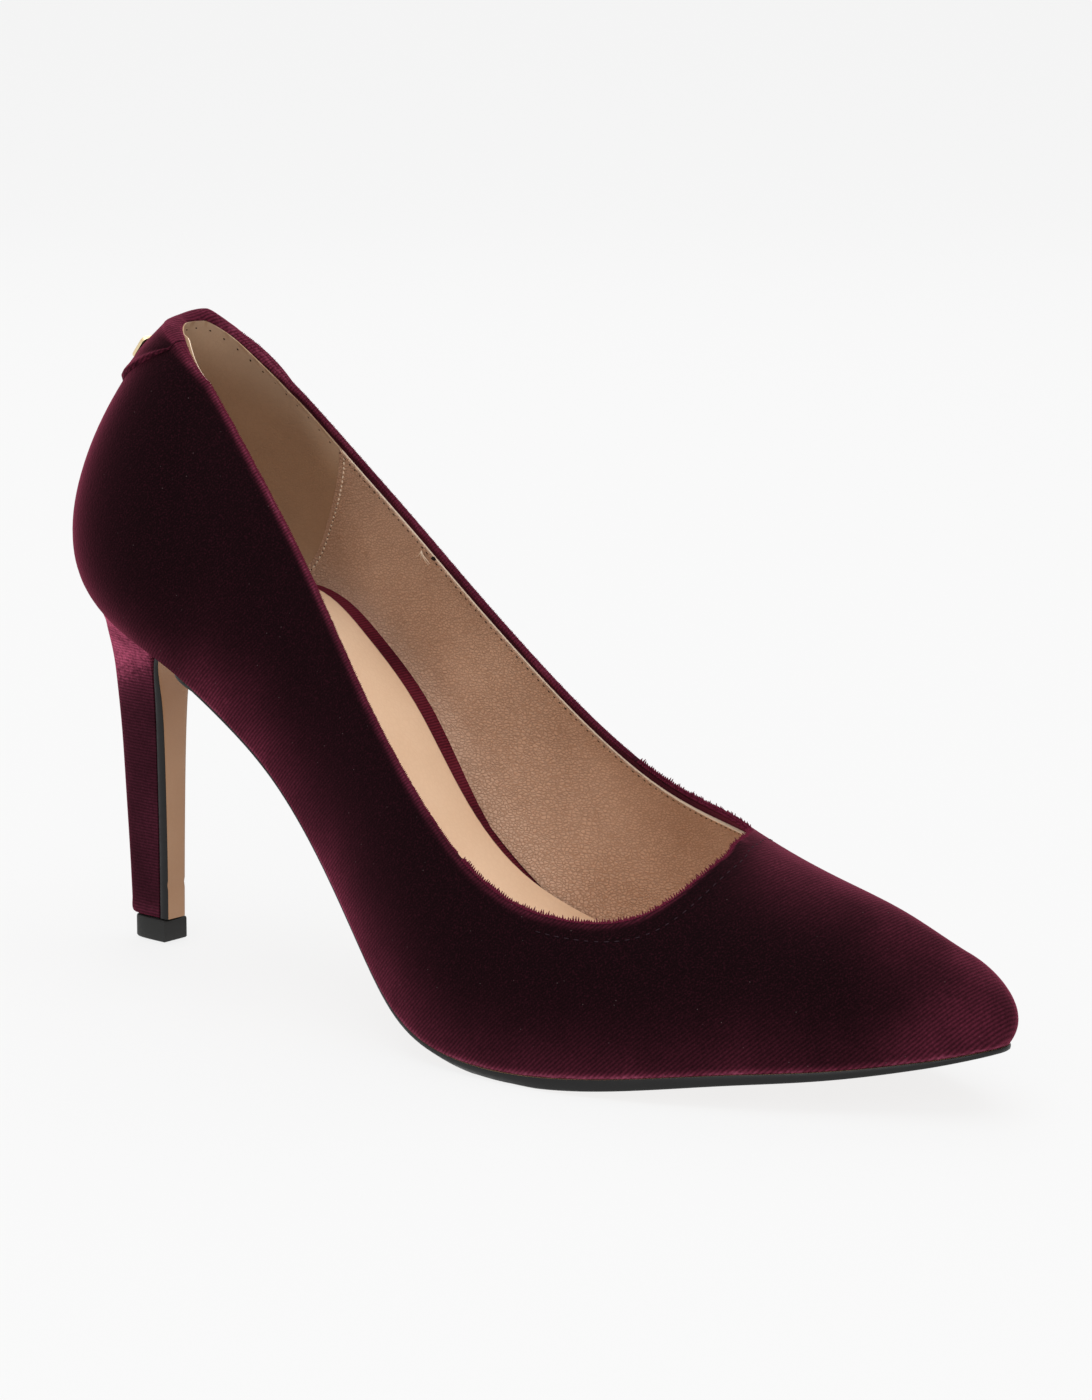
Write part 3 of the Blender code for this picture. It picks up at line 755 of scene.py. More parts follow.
# Lining
# Tan leather sewn in under the folded rim, with a raw cream edge that shows as a fine line. Round the
# heel it is a softer suede grip, and the leather laps over the grip at a curved seam on each side.
LINING_FOOT = 0.015
LINING_COVE = 1.9
LINING_GAP = 0.05
GRIP_FACE = 0.35
LINING_FACE = 0.65
QUARTER_BACK = 0.37
GRIP_END = 62.0
LAP_WIDE = 1.25
LAP_STEP = 0.6
LAP_SHARES = np.linspace(0.12, 0.97, 60)
SHEAR_END = 100.0
SEAM_COLUMNS = ("share", "x")
SEAM = (
    (0.0, 32.0),
    (0.217, 38.4),
    (0.389, 43.5),
    (0.609, 49.5),
    (0.891, 55.8),
    (1.0, 57.8),
)
seam_at = spline(SEAM, SEAM_COLUMNS, "x")


def lining_drop(x, side):
    """How far the lining ends below the topline; it stands level with it on the outer side of the heel."""
    back = 0.8 + 1.8 * float(fade(x, 24.0, 57.0))
    level = float(fade(x, 19.0, 26.0) * (1.0 - fade(x, 42.0, 58.0))) if side < 0 else 0.0
    return back * (1.0 - level) - 0.15 * level


def lining_depth(x, share):
    """Depth of the lining's back under the outside of the upper; it coves in to the insole at its foot."""
    cove = LINING_COVE * (1.0 - fade(share, 0.0, 0.3)) * (1.0 - float(fade(x, 92.0, 114.0)))
    return wall_depth(x, share) + cove


def under_wall(x, side, t, share, depth):
    """A point at a depth under the outside of the upper; share is 1 at the lining's upper edge."""
    t = np.array([t])
    run = (wall_points(x + 0.2, side, t) - wall_points(x - 0.2, side, t))[0] * -side
    rise = (wall_points(x, side, np.minimum(t + 0.003, 1.0)) - wall_points(x, side, t - 0.003))[0]
    normal = np.cross(run, rise)
    return wall_points(x, side, t)[0] - outer_way(x, share, normal / np.linalg.norm(normal)) * depth


def leather(name, main, deep, pale, grain_mm, roughness, bump, crease):
    """Finished leather: a fine cell grain with small furrows in a smooth, slightly glossy skin.

    Where the nap value is high the colour turns pale: painted light, used on the top of the heel grip.
    """
    material, tree, shader, place = blank_material(name)
    cloud = add(tree, "ShaderNodeTexNoise", {"Vector": place, "Scale": 38.0, "Detail": 4.0})
    grain = add(tree, "ShaderNodeTexNoise", {"Vector": place, "Scale": 420.0 / grain_mm, "Detail": 4.0})
    # cells drawn out along the shoe, with bent furrows between them
    drawn = add(tree, "ShaderNodeMapping", {"Vector": place, "Scale": (0.62, 1.0, 1.0)})
    bent = add(tree, "ShaderNodeVectorMath", {
        0: grain.outputs["Color"], 1: (0.0006, 0.0006, 0.0006), 2: drawn,
    }, operation="MULTIPLY_ADD")
    cells = add(tree, "ShaderNodeTexVoronoi", {"Vector": bent, "Scale": 1000.0 / grain_mm},
                feature="DISTANCE_TO_EDGE")
    furrow = add(tree, "ShaderNodeMapRange", {
        0: cells.outputs["Distance"], 1: 0.0, 2: 0.16, 3: crease, 4: 0.0,
    })
    patch = add(tree, "ShaderNodeMapRange", {0: cloud, 1: 0.3, 2: 0.72, 3: 0.0, 4: 0.55})
    shade = add(tree, "ShaderNodeMath", {0: furrow, 1: 0.6, 2: patch},
                operation="MULTIPLY_ADD", use_clamp=True)
    face = add(tree, "ShaderNodeMix", {"Factor": shade, 6: ink(main), 7: ink(deep)}, data_type="RGBA")
    nap_and_light = add(tree, "ShaderNodeAttribute", attribute_name="nap_and_light").outputs["Fac"]
    painted_light = add(tree, "ShaderNodeMix", {"Factor": nap_and_light, 6: face.outputs[2], 7: ink(pale)}, data_type="RGBA")
    height = add(tree, "ShaderNodeMath", {0: grain, 1: furrow}, operation="SUBTRACT")
    skin = add(tree, "ShaderNodeBump", {"Strength": bump, "Distance": 0.0002, "Height": height})
    gloss = add(tree, "ShaderNodeMapRange", {
        0: grain, 1: 0.3, 2: 0.7, 3: roughness - 0.06, 4: min(roughness + 0.08, 1.0),
    })
    feed(tree, shader, {
        "Base Color": painted_light.outputs[2], "Roughness": gloss, "Normal": skin, "Specular IOR Level": 0.35,
    })
    return material


def skin_sheet(face, back, painted_light, open_top):
    """Two faces of a lining sheet with its edges; open_top says which columns end at the topline."""
    patches = [(face, 0, painted_light), (back, 0, 0.0)]
    patches += [(np.array([face[k], back[k]]), 0, 0.0) for k in (0, -1)]
    patches += [(np.array([face[:, 0], back[:, 0]]), 0, 0.0)]
    for columns in open_top:
        patches.append((np.array([face[columns, -1], back[columns, -1]]), 0, 0.0))
    return patches


lining_throat = THROAT + lining_drop(THROAT, 1)
lining_loop = wall_loop(lining_throat)
lining_rows = np.linspace(0.0, 1.0, 34)


def lining_column(loop, k, face, back):
    """Section k of a lining sheet: the points of its face and its back, at their depths under the wall."""
    x, side = loop[k]
    top = share_at_top(x, side, lining_drop(x, side))
    point, normal = wall_frame(loop, k, LINING_FOOT + (top - LINING_FOOT) * lining_rows)
    depth = lining_depth(x, lining_rows)[:, None]
    way = outer_way(x, lining_rows, normal)
    return point - way * (depth + face), point - way * (depth + back)


def lining_points(x, side, share, depths):
    """Points of the lining at a share of its height, one at each depth under the wall."""
    top = share_at_top(x, side, lining_drop(x, side))
    t = LINING_FOOT + (top - LINING_FOOT) * share
    wall = float(lining_depth(x, share))
    return [under_wall(x, side, t, share, wall + depth) for depth in depths]


half_way = len(lining_loop) // 2
back_half = [k for k, (x, side) in enumerate(lining_loop) if x <= GRIP_END]
grip_columns = [k for k in back_half if k > half_way] + [k for k in back_half if k < half_way]
grip_face, grip_back = zip(*[lining_column(lining_loop, k, GRIP_FACE, LINING_GAP) for k in grip_columns])
# the top of the grip is painted paler: painted light falling from above
grip_painted_light = 0.3 * fade(lining_rows, 0.72, 1.0)[None, :]
grip = lasted_piece("heel_grip", skin_sheet(
    np.array(grip_face), np.array(grip_back), grip_painted_light, [slice(None)]))
grip.data.materials.append(leather("suede grip", "#B08F71", "#8E6F55", "#D9C6AE", 0.9, 0.9, 0.5, 0.2))
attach(grip, "root")

LAP_TOP = float(seam_at(1.0)) - LAP_WIDE
quarter_xs = [LAP_TOP] + [x for x in wall_stations(lining_throat) if x > LAP_TOP + LAP_STEP]
quarter_loop = [(x, -1) for x in quarter_xs] + [(x, 1) for x in quarter_xs[-2::-1]]
quarter_face = []
quarter_back = []
for k, (x, side) in enumerate(quarter_loop):
    if x >= SHEAR_END:
        face, back = lining_column(quarter_loop, k, LINING_FACE, QUARTER_BACK)
    else:
        # the back edge follows the seam, and the columns before it follow less and less
        follow = 1.0 - float(fade(x, LAP_TOP, SHEAR_END))
        places = [x - (float(seam_at(1.0)) - float(seam_at(share))) * follow for share in lining_rows]
        face, back = zip(*[lining_points(place, side, share, (LINING_FACE, QUARTER_BACK))
                           for place, share in zip(places, lining_rows)])
    quarter_face.append(face)
    quarter_back.append(back)
at_topline = [k for k, (x, side) in enumerate(quarter_loop) if x <= lining_throat + 0.01]
last_outer = max(k for k in at_topline if quarter_loop[k][1] < 0)
first_inner = min(k for k in at_topline if quarter_loop[k][1] > 0)
quarter = lasted_piece("quarter_lining", skin_sheet(
    np.array(quarter_face), np.array(quarter_back), 0.0,
    [slice(0, last_outer + 1), slice(first_inner, None)]))
quarter.data.materials.append(
    leather("tan lining leather", "#CEAA91", "#A07B61", "#D8BA9A", 0.62, 0.5, 0.95, 0.75))
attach(quarter, "root")

# the raw cream edge of the lining leather, from seam to seam round the throat
hem, hem_out, hem_in, hem_stations = topline_frame(
    lining_loop, lining_drop, lambda x: float(wall_depth(x, 1.0)) + LINING_GAP)
EDGE_SECTION = (
    (0.0, -0.3), (0.0, 0.06), (-0.3, 0.12), (-0.6, 0.06), (-0.67, -0.08), (-0.6, -0.3), (0.0, -0.3),
)
HEEL_EDGE_FROM = 24.0
front_hem = [k for k, (x, side) in enumerate(hem_stations) if x > LAP_TOP]
heel_hem = [k for k, (x, side) in enumerate(hem_stations) if HEEL_EDGE_FROM < x < LAP_TOP and side < 0]
edge_strips = []
for columns in (front_hem, heel_hem):
    rings = []
    for k in columns:
        stout = 0.45 + 0.55 * float(fade(hem_stations[k][0], 125.0, 160.0))
        rings.append([hem[k] + (hem_out[k] * a + hem_in[k] * b) * stout for a, b in EDGE_SECTION])
    ends = [[np.mean(rings[k], axis=0)] * len(EDGE_SECTION) for k in (0, -1)]
    edge_strips.append((np.array(ends[:1] + rings + ends[1:]), 0, 0.0))
raw_edge = lasted_piece("lining_edge", edge_strips)
raw_edge.data.materials.append(
    leather("raw cream leather edge", "#F0DAC2", "#DDBE9F", "#F6E8D6", 0.6, 0.8, 0.3, 0.2))
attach(raw_edge, "root")

# stitches that hold the lining: needle holes, drawn as dark pads of painted shade, and short threads under
# the edge, and the lap seams
GRIP_ROW_DROP = 1.5
FRONT_ROW_DROP = 0.75
THREAD_SHIFT = 0.05
BURST_X = 81.5
needle_hole_shade = thread("dark needle holes", "#2B1D16", "#1A110D", 0.9)
pale_thread = thread("pale lining thread", "#EADBC6", "#CDB296", 0.6)
hem_face = hem - hem_out * (LINING_FACE - LINING_GAP)
grip_hem = [k for k, (x, side) in enumerate(hem_stations) if x <= LAP_TOP]
outer_grip = [k for k in grip_hem if hem_stations[k][1] < 0]
inner_grip = [k for k in grip_hem if hem_stations[k][1] > 0]
grip_line = (hem - hem_out * (GRIP_FACE - LINING_GAP) - hem_in * GRIP_ROW_DROP)[inner_grip + outer_grip]
grip_facing = -hem_out[inner_grip + outer_grip]
front_line = (hem_face - hem_in * FRONT_ROW_DROP)[front_hem]
front_facing = -hem_out[front_hem]
sewn_rows = [
    ("lining_holes", front_line, front_facing, {"Step": 1.7, "Length": 0.7, "Width": 0.34}, needle_hole_shade),
    ("lining_threads", front_line[1:] - hem_in[front_hem][1:] * THREAD_SHIFT, front_facing[1:],
     {"Step": 1.7, "Length": 0.8, "Width": 0.26}, pale_thread),
    ("grip_holes", grip_line, grip_facing, {"Step": 3.6, "Length": 0.55, "Width": 0.3}, needle_hole_shade),
]
for side, label in ((-1, "outer"), (1, "inner")):
    lap_line = []
    lap_out = []
    for share in LAP_SHARES:
        on_face, deeper = lining_points(float(seam_at(share)), side, share, (LINING_FACE, LINING_FACE + 1.0))
        lap_line.append(on_face)
        lap_out.append(deeper - on_face)
    sewn_rows.append((f"lap_threads_{label}", lap_line, lap_out,
                      {"Step": 1.4, "Length": 0.9, "Width": 0.5}, pale_thread))
    sewn_rows.append((f"lap_holes_{label}", lap_line[1:], lap_out[1:],
                      {"Step": 1.4, "Length": 0.32, "Width": 0.36}, needle_hole_shade))
# one hole on the inner side is torn wide, drawn as a larger dark pad of painted shade
burst = min((k for k in front_hem if hem_stations[k][1] > 0),
            key=lambda k: abs(hem_stations[k][0] - BURST_X))
burst_line = np.array([hem_face[burst], hem_face[burst] + (0.05, 0.0, -0.05)])
sewn_rows.append(("burst_hole", burst_line, -hem_out[[burst, burst]],
                  {"Step": 9.0, "Length": 1.1, "Width": 0.75}, needle_hole_shade))
for name, path, out, sizes, material in sewn_rows:
    sewn = grown(name, stitches, path, out, sizes, material)
    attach(sewn, "root")

# a frayed end of thread left at a hole, where the lining is sewn in on the inner side
FRAY_X = 78.2
FRAY_SHARE = 0.955
FRAY_RADIUS = 0.16
FRAY_STRANDS = 7
FRAY_STEPS = 8
FRAY_SIDES = 6
draw = np.random.default_rng(5)
fray_top = share_at_top(FRAY_X, 1, lining_drop(FRAY_X, 1))
fray_depth = float(wall_depth(FRAY_X, 1.0)) + LINING_FACE
root = under_wall(FRAY_X, 1, fray_top * FRAY_SHARE, 1.0, fray_depth)
above = under_wall(FRAY_X, 1, fray_top * (FRAY_SHARE + 0.02), 1.0, fray_depth) - root
inside_way = under_wall(FRAY_X, 1, fray_top * FRAY_SHARE, 1.0, fray_depth + 1.0) - root
above /= np.linalg.norm(above)
inside_way /= np.linalg.norm(inside_way)
forward = np.cross(above, inside_way)
strands = []
for _ in range(FRAY_STRANDS):
    lean = draw.uniform(-1.0, 1.0)
    curl = draw.uniform(-0.8, 0.8)
    length = draw.uniform(1.6, 3.4)
    path = []
    for s in np.linspace(0.0, 1.0, FRAY_STEPS + 1):
        drift = forward * (lean * s + curl * s * s) - above * (0.15 + 0.75 * s)
        path.append(root + inside_way * (0.1 + 0.55 * math.sin(1.5 * s)) + drift * length * s)
    rings = []
    for i, centre in enumerate(path):
        tangent = path[min(i + 1, FRAY_STEPS)] - path[max(i - 1, 0)]
        across = np.cross(tangent, inside_way)
        across /= np.linalg.norm(across)
        up = np.cross(across, tangent)
        up /= np.linalg.norm(up)
        thin = FRAY_RADIUS * (1.0 - 0.7 * i / FRAY_STEPS)
        rings.append([centre + thin * (across * math.cos(a) + up * math.sin(a))
                      for a in np.linspace(0.0, 2.0 * math.pi, FRAY_SIDES)])
    rings = [[path[0]] * FRAY_SIDES] + rings + [[path[-1]] * FRAY_SIDES]
    strands.append((np.array(rings), 0, 0.0))
fray = lasted_piece("frayed_thread", strands)
fray.data.materials.append(pale_thread)
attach(fray, "root")

# Back tab
# A folded strip of the same velvet over the back seam, turned under at its lower edge, lapped over
# the rim at the top and pinned by a small plain plate.
TAB_ENDS = {-1: 1.02, 1: 0.88}
TAB_LOW = 123.8
TAB_END_DEPTH = 1.6
TAB_CURVE = 1.9
TAB_GAP = 0.15
TAB_THICK = 0.85
TAB_RIM = 0.3
TAB_CREST = 1.35
CREST_TURN = 0.33
TAB_UNDER = 0.06
TAB_RIM_UNDER = 0.03
TAB_COLUMNS = 61
TAB_ROWS = 22
TAB_LAP_ROWS = 12
HEM_ROLL_AT = 0.10
HEM_ROLL_WIDE = 0.09
HEM_LIP = 0.05
CREST_NAP = 0.6


def back_x(turn):
    """Station of the section at an angle round the back of the heel."""
    return HEEL_CENTRE - (HEEL_CENTRE - HEEL_END) * math.cos(turn)


def back_frame(turn, t):
    """Point, outward normal and upward tangent on the back of the upper."""
    def at(angle, share):
        return wall_points(back_x(angle), 1 if angle > 0.0 else -1, np.array([share]))[0]

    small = 0.01
    rise = at(turn, t + small) - at(turn, t - small)
    across = at(turn + small, t) - at(turn - small, t)
    normal = np.cross(rise, across)
    return at(turn, t), normal / np.linalg.norm(normal), rise / np.linalg.norm(rise)


tab_over = []
tab_under = []
tab_nap = []
for turn in np.linspace(-TAB_ENDS[-1], TAB_ENDS[1], TAB_COLUMNS):
    x = back_x(turn)
    side = 1 if turn > 0.0 else -1
    reach = abs(turn) / TAB_ENDS[side]
    top = share_at_top(x, side, rim_tall(x))
    rim_height = float(wall_heights(x, share_at_top(x, side, 0.0)))
    low = TAB_LOW + (rim_height - TAB_END_DEPTH - TAB_LOW) * reach ** TAB_CURVE
    bottom = share_at_height(x, low)
    ends = 1.0 - reach ** 8
    taper = 0.45 + 0.55 * ends if turn < 0.0 else 0.05 + 0.95 * ends
    crest = TAB_CREST * math.exp(-((turn - CREST_TURN) / CREST_TURN) ** 2)
    over = []
    under = []
    nap_here = []
    for share in np.linspace(0.0, 1.0, TAB_ROWS):
        point, normal, rise = back_frame(turn, bottom + (top - bottom) * share)
        hem_roll = math.exp(-((share - HEM_ROLL_AT) / HEM_ROLL_WIDE) ** 2)
        lip = min(share / HEM_LIP, 1.0) ** 0.5
        face_thick = TAB_THICK + (TAB_RIM - TAB_THICK) * float(fade(share, 0.45, 1.0))
        over.append(point + normal * (TAB_GAP + face_thick * (0.85 + 0.3 * hem_roll) * lip) * taper)
        under.append(point + normal * TAB_UNDER)
        nap_here.append(0.3 * hem_roll + 0.3 * float(fade(share, 0.8, 1.0)))
    way = outer_way(x, 1.0, normal)
    up = np.cross(np.cross(way, rise), way)
    up /= np.linalg.norm(up)
    for angle in np.linspace(0.15, math.pi, TAB_LAP_ROWS):
        thin = (TAB_GAP + TAB_RIM * 0.85) * taper * (1.0 - 0.8 * float(fade(angle, 1.6, 3.1)))
        centre = point - way * rim_wide(x)
        out, height = way * math.cos(angle), up * math.sin(angle)
        over.append(centre + out * (rim_wide(x) + thin) + height * (rim_tall(x) + thin + crest))
        under.append(centre + out * (rim_wide(x) + TAB_RIM_UNDER) + height * (rim_tall(x) + TAB_RIM_UNDER))
        nap_here.append(CREST_NAP)
    tab_over.append(over)
    tab_under.append(under)
    tab_nap.append(nap_here)
tab_over = np.array(tab_over)
tab_under = np.array(tab_under)
tab = lasted_piece("back_tab", [
    (tab_over, 0, np.array(tab_nap)),
    (tab_under, 0, 0.0),
    (np.array([tab_over[0], tab_under[0]]), 0, 0.3),
    (np.array([tab_over[-1], tab_under[-1]]), 0, 0.3),
    (np.array([tab_over[:, 0], tab_under[:, 0]]), 0, 0.4),
    (np.array([tab_over[:, -1], tab_under[:, -1]]), 0, 0.3),
])
tab.data.materials.append(velvet("tab velvet", DIAGONAL_ROWS, "#0B0406", "#561F2F", "#8A4258"))
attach(tab, "root")
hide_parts("heel_tab")

# Back plate
# A small plain plate of gilt metal, stamped with a soft edge and polished. It is pinned through the
# tab at the middle of the back.
PLATE_HEIGHT = 132.4
PLATE_WIDE = 11.6
PLATE_TALL = 6.0
PLATE_CORNER = 1.2
PLATE_THICK = 0.9
PLATE_SEAT = 0.7
PLATE_BEVEL = 0.35


def plate_ring(pull):
    """Outline of the plate, moved inwards."""
    ring = []
    for corner in range(4):
        sx = 1.0 if corner in (0, 3) else -1.0
        sz = 1.0 if corner in (0, 1) else -1.0
        for i in range(7):
            angle = 0.5 * math.pi * (corner + i / 6.0)
            radius = PLATE_CORNER - pull
            ring.append((sx * (0.5 * PLATE_WIDE - PLATE_CORNER) + radius * math.cos(angle),
                         sz * (0.5 * PLATE_TALL - PLATE_CORNER) + radius * math.sin(angle)))
    return ring + ring[:1]


point, normal, rise = back_frame(0.0, share_at_height(HEEL_END, PLATE_HEIGHT))
across = np.cross(normal, rise)
plate_rows = []
for pull, height in ((PLATE_CORNER, 0.0), (0.0, 0.0), (0.0, 0.5), (0.0, PLATE_THICK - PLATE_BEVEL),
                     (0.1, PLATE_THICK - 0.1), (PLATE_BEVEL, PLATE_THICK), (PLATE_CORNER, PLATE_THICK)):
    seat = point + normal * (PLATE_SEAT + height)
    plate_rows.append([seat + a * across + b * rise for a, b in plate_ring(pull)])
plate_size = len(plate_rows[0])
plate_rows = [[point + normal * PLATE_SEAT] * plate_size] + plate_rows
plate_rows = plate_rows + [[point + normal * (PLATE_SEAT + PLATE_THICK)] * plate_size]
plate = lasted_piece("gilt_plate", [(plate_rows, 0, 0.0)])
# polished gilt: a bright warm metal, a little rubbed
gilt = grained("polished gilt brass", 700.0, 4.0, ("#F8E8C8", "#EBCF98"), (0.4, 0.52), None, 0.5)
gilt.node_tree.nodes["Principled BSDF"].inputs["Metallic"].default_value = 1.0
plate.data.materials.append(gilt)
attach(plate, "root")
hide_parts("back_plate")

# Outsole
# Thin sole leather from the toe to the waist, its edge painted black; it turns down the front of the
# heel as a flap, so the same tan face and black edge run down to the heel tip.
SOLE_GAP = 0.15
TREAD_SPARE = 0.15
SOLE_STEPS = 110
FLAP_STEPS = 120
WAIST_END = 52.0
CREASE_HIGH = 13.0
CREASE_DEEP = 0.22
CREASE_WIDE = 0.45
FLAP_END = 14.0
SOLE_COLUMNS = ("x", "inset", "thick")
SOLE = (
    (52.0, 0.4, 1.8),
    (75.0, 0.2, 1.8),
    (90.0, 0.15, 1.8),
    (105.0, 0.1, 1.7),
    (120.0, 0.05, 1.9),
    (135.0, 0.0, 2.2),
    (150.0, -0.2, 2.3),
    (170.0, -0.2, 2.3),
    (200.0, -0.2, 1.9),
    (222.0, -0.2, 1.4),
    (238.0, -0.2, 0.9),
)
FLAP_COLUMNS = ("step", "x", "z", "half", "thick")
FLAP = (
    (0.0, 52.0, 65.6, 26.7, 1.8),
    (1.0, 46.0, 67.7, 25.2, 1.7),
    (2.0, 41.0, 69.5, 20.6, 1.6),
    (3.0, 36.0, 70.5, 16.4, 1.5),
    (4.0, 31.0, 70.9, 12.4, 1.4),
    (5.0, 26.5, 70.0, 10.0, 1.3),
    (6.0, 22.8, 67.8, 7.8, 1.2),
    (7.0, 20.2, 64.6, 6.2, 1.2),
    (8.0, 19.0, 60.4, 5.15, 1.4),
    (9.0, 18.5, 55.0, 4.36, 1.9),
    (10.0, 18.2, 48.0, 3.83, 2.2),
    (11.0, 18.0, 38.0, 3.45, 2.3),
    (12.0, 17.9, 26.0, 3.16, 2.3),
    (13.0, 17.8, 15.0, 2.99, 2.3),
    (14.0, 17.7, 5.3, 2.93, 2.3),
)
sole = {key: spline(SOLE, SOLE_COLUMNS, key) for key in SOLE_COLUMNS}
flap = {key: spline(FLAP, FLAP_COLUMNS, key) for key in FLAP_COLUMNS}
EDGE_PROFILE = (
    (0.0, 0.15, 0.05), (0.12, 0.0, 0.0), (0.4, -0.05, 0.1), (0.85, 0.05, 1.7), (1.0, 0.35, 2.3),
)


def edge_profile(bevel):
    """Section of the sole's edge as shares of its depth and insets: square at 0, bevelled at 1."""
    return [(share, square + (slanted - square) * bevel) for share, square, slanted in EDGE_PROFILE]


sole_edges = {-1: [], 1: []}
for x in reversed(sheet_stations(SOLE_STEPS)):
    if x < WAIST_END:
        continue
    bevel = 1.0 - float(fade(x, 126.0, 170.0))
    for side in (-1, 1):
        column = []
        for share, pull in edge_profile(bevel):
            px, py = plan_point(x, side, float(sole["inset"](x)) + pull)
            height = float(last["feather"](px)) - SOLE_GAP - share * (float(sole["thick"](x)) + TREAD_SPARE)
            column.append((px, py, max(height, 0.0)))
        sole_edges[side].append(column)
for step in np.linspace(0.25, FLAP_END, FLAP_STEPS):
    x, z, wide, thick = (float(flap[key](step)) for key in ("x", "z", "half", "thick"))
    ahead = min(step + 0.05, FLAP_END)
    behind = step - 0.05
    along = np.array([float(flap[key](ahead) - flap[key](behind)) for key in ("x", "z")])
    along /= np.linalg.norm(along)
    out = np.array([-along[1], along[0]])
    sunk = CREASE_DEEP * math.exp(-((z - CREASE_HIGH) / CREASE_WIDE) ** 2)
    bevel = 1.0 - float(fade(step, 3.0, 6.0))
    for side in (-1, 1):
        column = []
        for share, pull in edge_profile(bevel):
            fx, fz = np.array([x, z]) + out * (thick - sunk) * share
            column.append((fx, side * (wide - pull), fz))
        sole_edges[side].append(column)
left = np.array(sole_edges[-1])
right = np.array(sole_edges[1])
across_steps = np.linspace(0.0, 1.0, 9)[None, :, None]
outsole = lasted_piece("sole_leather", [
    (left, 1, 0.0),
    (right, 1, 0.0),
    (left[:, -1:, :] + (right[:, -1:, :] - left[:, -1:, :]) * across_steps, 0, 0.0),
    (left[:, :1, :] + (right[:, :1, :] - left[:, :1, :]) * across_steps, 0, 0.0),
    (np.array([left[-1], right[-1]]), 1, 0.0),
])
outsole.data.materials.append(
    leather("tan sole leather", "#A98465", "#90694A", "#B8977A", 1.2, 0.42, 0.12, 0.1))
# edge paint: brushed on, black, with a soft wet gloss
outsole.data.materials.append(grained(
    "black edge paint", 520.0, 5.0, ("#0B0B0B", "#171616"), (0.38, 0.55), (0.2, 0.0002), 0.3))
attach(outsole, "root")
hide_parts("outsole")

# Heel
# A moulded core covered with velvet that is stretched round it and turned under at the bottom; the
# front is left to the sole's flap. It opens to the heel seat right under the upper.
TIP_HEIGHT = 5.0
COLUMN_POWER = 4.0
HEM_SWELL = 0.12
HEM_RISE = 71.0
HEEL_GAP = 0.12
HEEL_FOOT_GAP = 0.3
RING_STEPS = 28
TURNED_HEM = ((0.0, 0.9), (0.0, 0.35), (0.004, 0.06))
HEEL_COLUMNS = ("level", "back", "front", "half", "seat")
HEEL = (
    (0.00, 7.7, 17.4, 2.9, 0.0),
    (0.20, 7.0, 17.5, 3.0, 0.0),
    (0.40, 6.2, 17.7, 3.3, 0.0),
    (0.60, 5.4, 17.9, 3.8, 0.0),
    (0.72, 4.8, 18.2, 4.5, 0.0),
    (0.80, 4.5, 18.8, 5.6, 0.08),
    (0.86, 4.5, 20.2, 7.6, 0.18),
    (0.91, 4.8, 23.2, 10.8, 0.38),
    (0.95, 5.4, 28.4, 15.4, 0.64),
    (0.98, 6.4, 36.4, 21.6, 0.88),
    (1.00, 7.8, 46.5, 26.6, 1.0),
)
heel_at = {key: spline(HEEL, HEEL_COLUMNS, key) for key in HEEL_COLUMNS}


def column_ring(back, front, half, seat, heights):
    """One section of the heel, from the front on the outer side round the back to the front.

    It turns from a rounded box at seat 0 to the half ellipse of the heel seat at seat 1.
    """
    left = []
    right = []
    for i in range(RING_STEPS + 1):
        share = math.sin(0.5 * math.pi * i / RING_STEPS)
        x = front + (back - front) * share
        box = max(1.0 - share ** COLUMN_POWER, 0.0) ** (1.0 / COLUMN_POWER)
        y = half * ((1.0 - seat) * box + seat * math.sqrt(max(1.0 - share * share, 0.0)))
        left.append((x, -y, heights(x)))
        right.append((x, y, heights(x)))
    return left + right[::-1][1:]


def column_caps(rows, nap_and_light):
    """The flat ends of a column and its front face, with one nap value (pressed pile and painted sheen) for
    each row.
    """
    rows = np.array(rows)
    middle = rows.shape[1] // 2
    ends = [np.array([rows[k][:middle + 1], rows[k][middle:][::-1]]) for k in (0, -1)]
    return [(ends[0], 0, nap_and_light[0]), (ends[1], 0, nap_and_light[-1]), (np.array([rows[:, 0], rows[:, -1]]), 0, nap_and_light)]


heel_foot = TIP_HEIGHT + HEEL_FOOT_GAP
heel_rows = []
heel_nap_and_sheen = []
for level, pull in TURNED_HEM:
    back, front, wide = (float(heel_at[key](0.0)) for key in ("back", "front", "half"))
    heel_rows.append(column_ring(back + pull, front - 0.3 * pull, wide - pull, 0.0,
                                 lambda x, v=level: heel_foot + HEM_RISE * v))
    heel_nap_and_sheen.append(0.25)
heel_levels = np.concatenate([
    np.linspace(0.012, 0.06, 8), np.linspace(0.08, 0.7, 36), np.linspace(0.715, 1.0, 40),
])
for level in heel_levels:
    back, front, wide, seat = (float(heel_at[key](level)) for key in ("back", "front", "half", "seat"))
    swell = HEM_SWELL * math.exp(-((level - 0.02) / 0.016) ** 2)
    heel_rows.append(column_ring(
        back - swell, front, wide + swell, seat,
        lambda x, v=level: heel_foot + (float(last["feather"](x)) - HEEL_GAP - heel_foot) * v))
    # painted highlight: the nap value climbs up the flared top of the heel; the bump near the foot is
    # crushed pile at the turned hem
    heel_nap_and_sheen.append(0.15 + 1.1 * float(fade(level, 0.62, 0.98)) + 0.2 * math.exp(-(level / 0.03) ** 2))
heel_nap_and_sheen = np.array(heel_nap_and_sheen)
heel = lasted_piece("heel_cover", [
    (np.array(heel_rows), 0, heel_nap_and_sheen[:, None]),
] + column_caps(heel_rows, heel_nap_and_sheen))
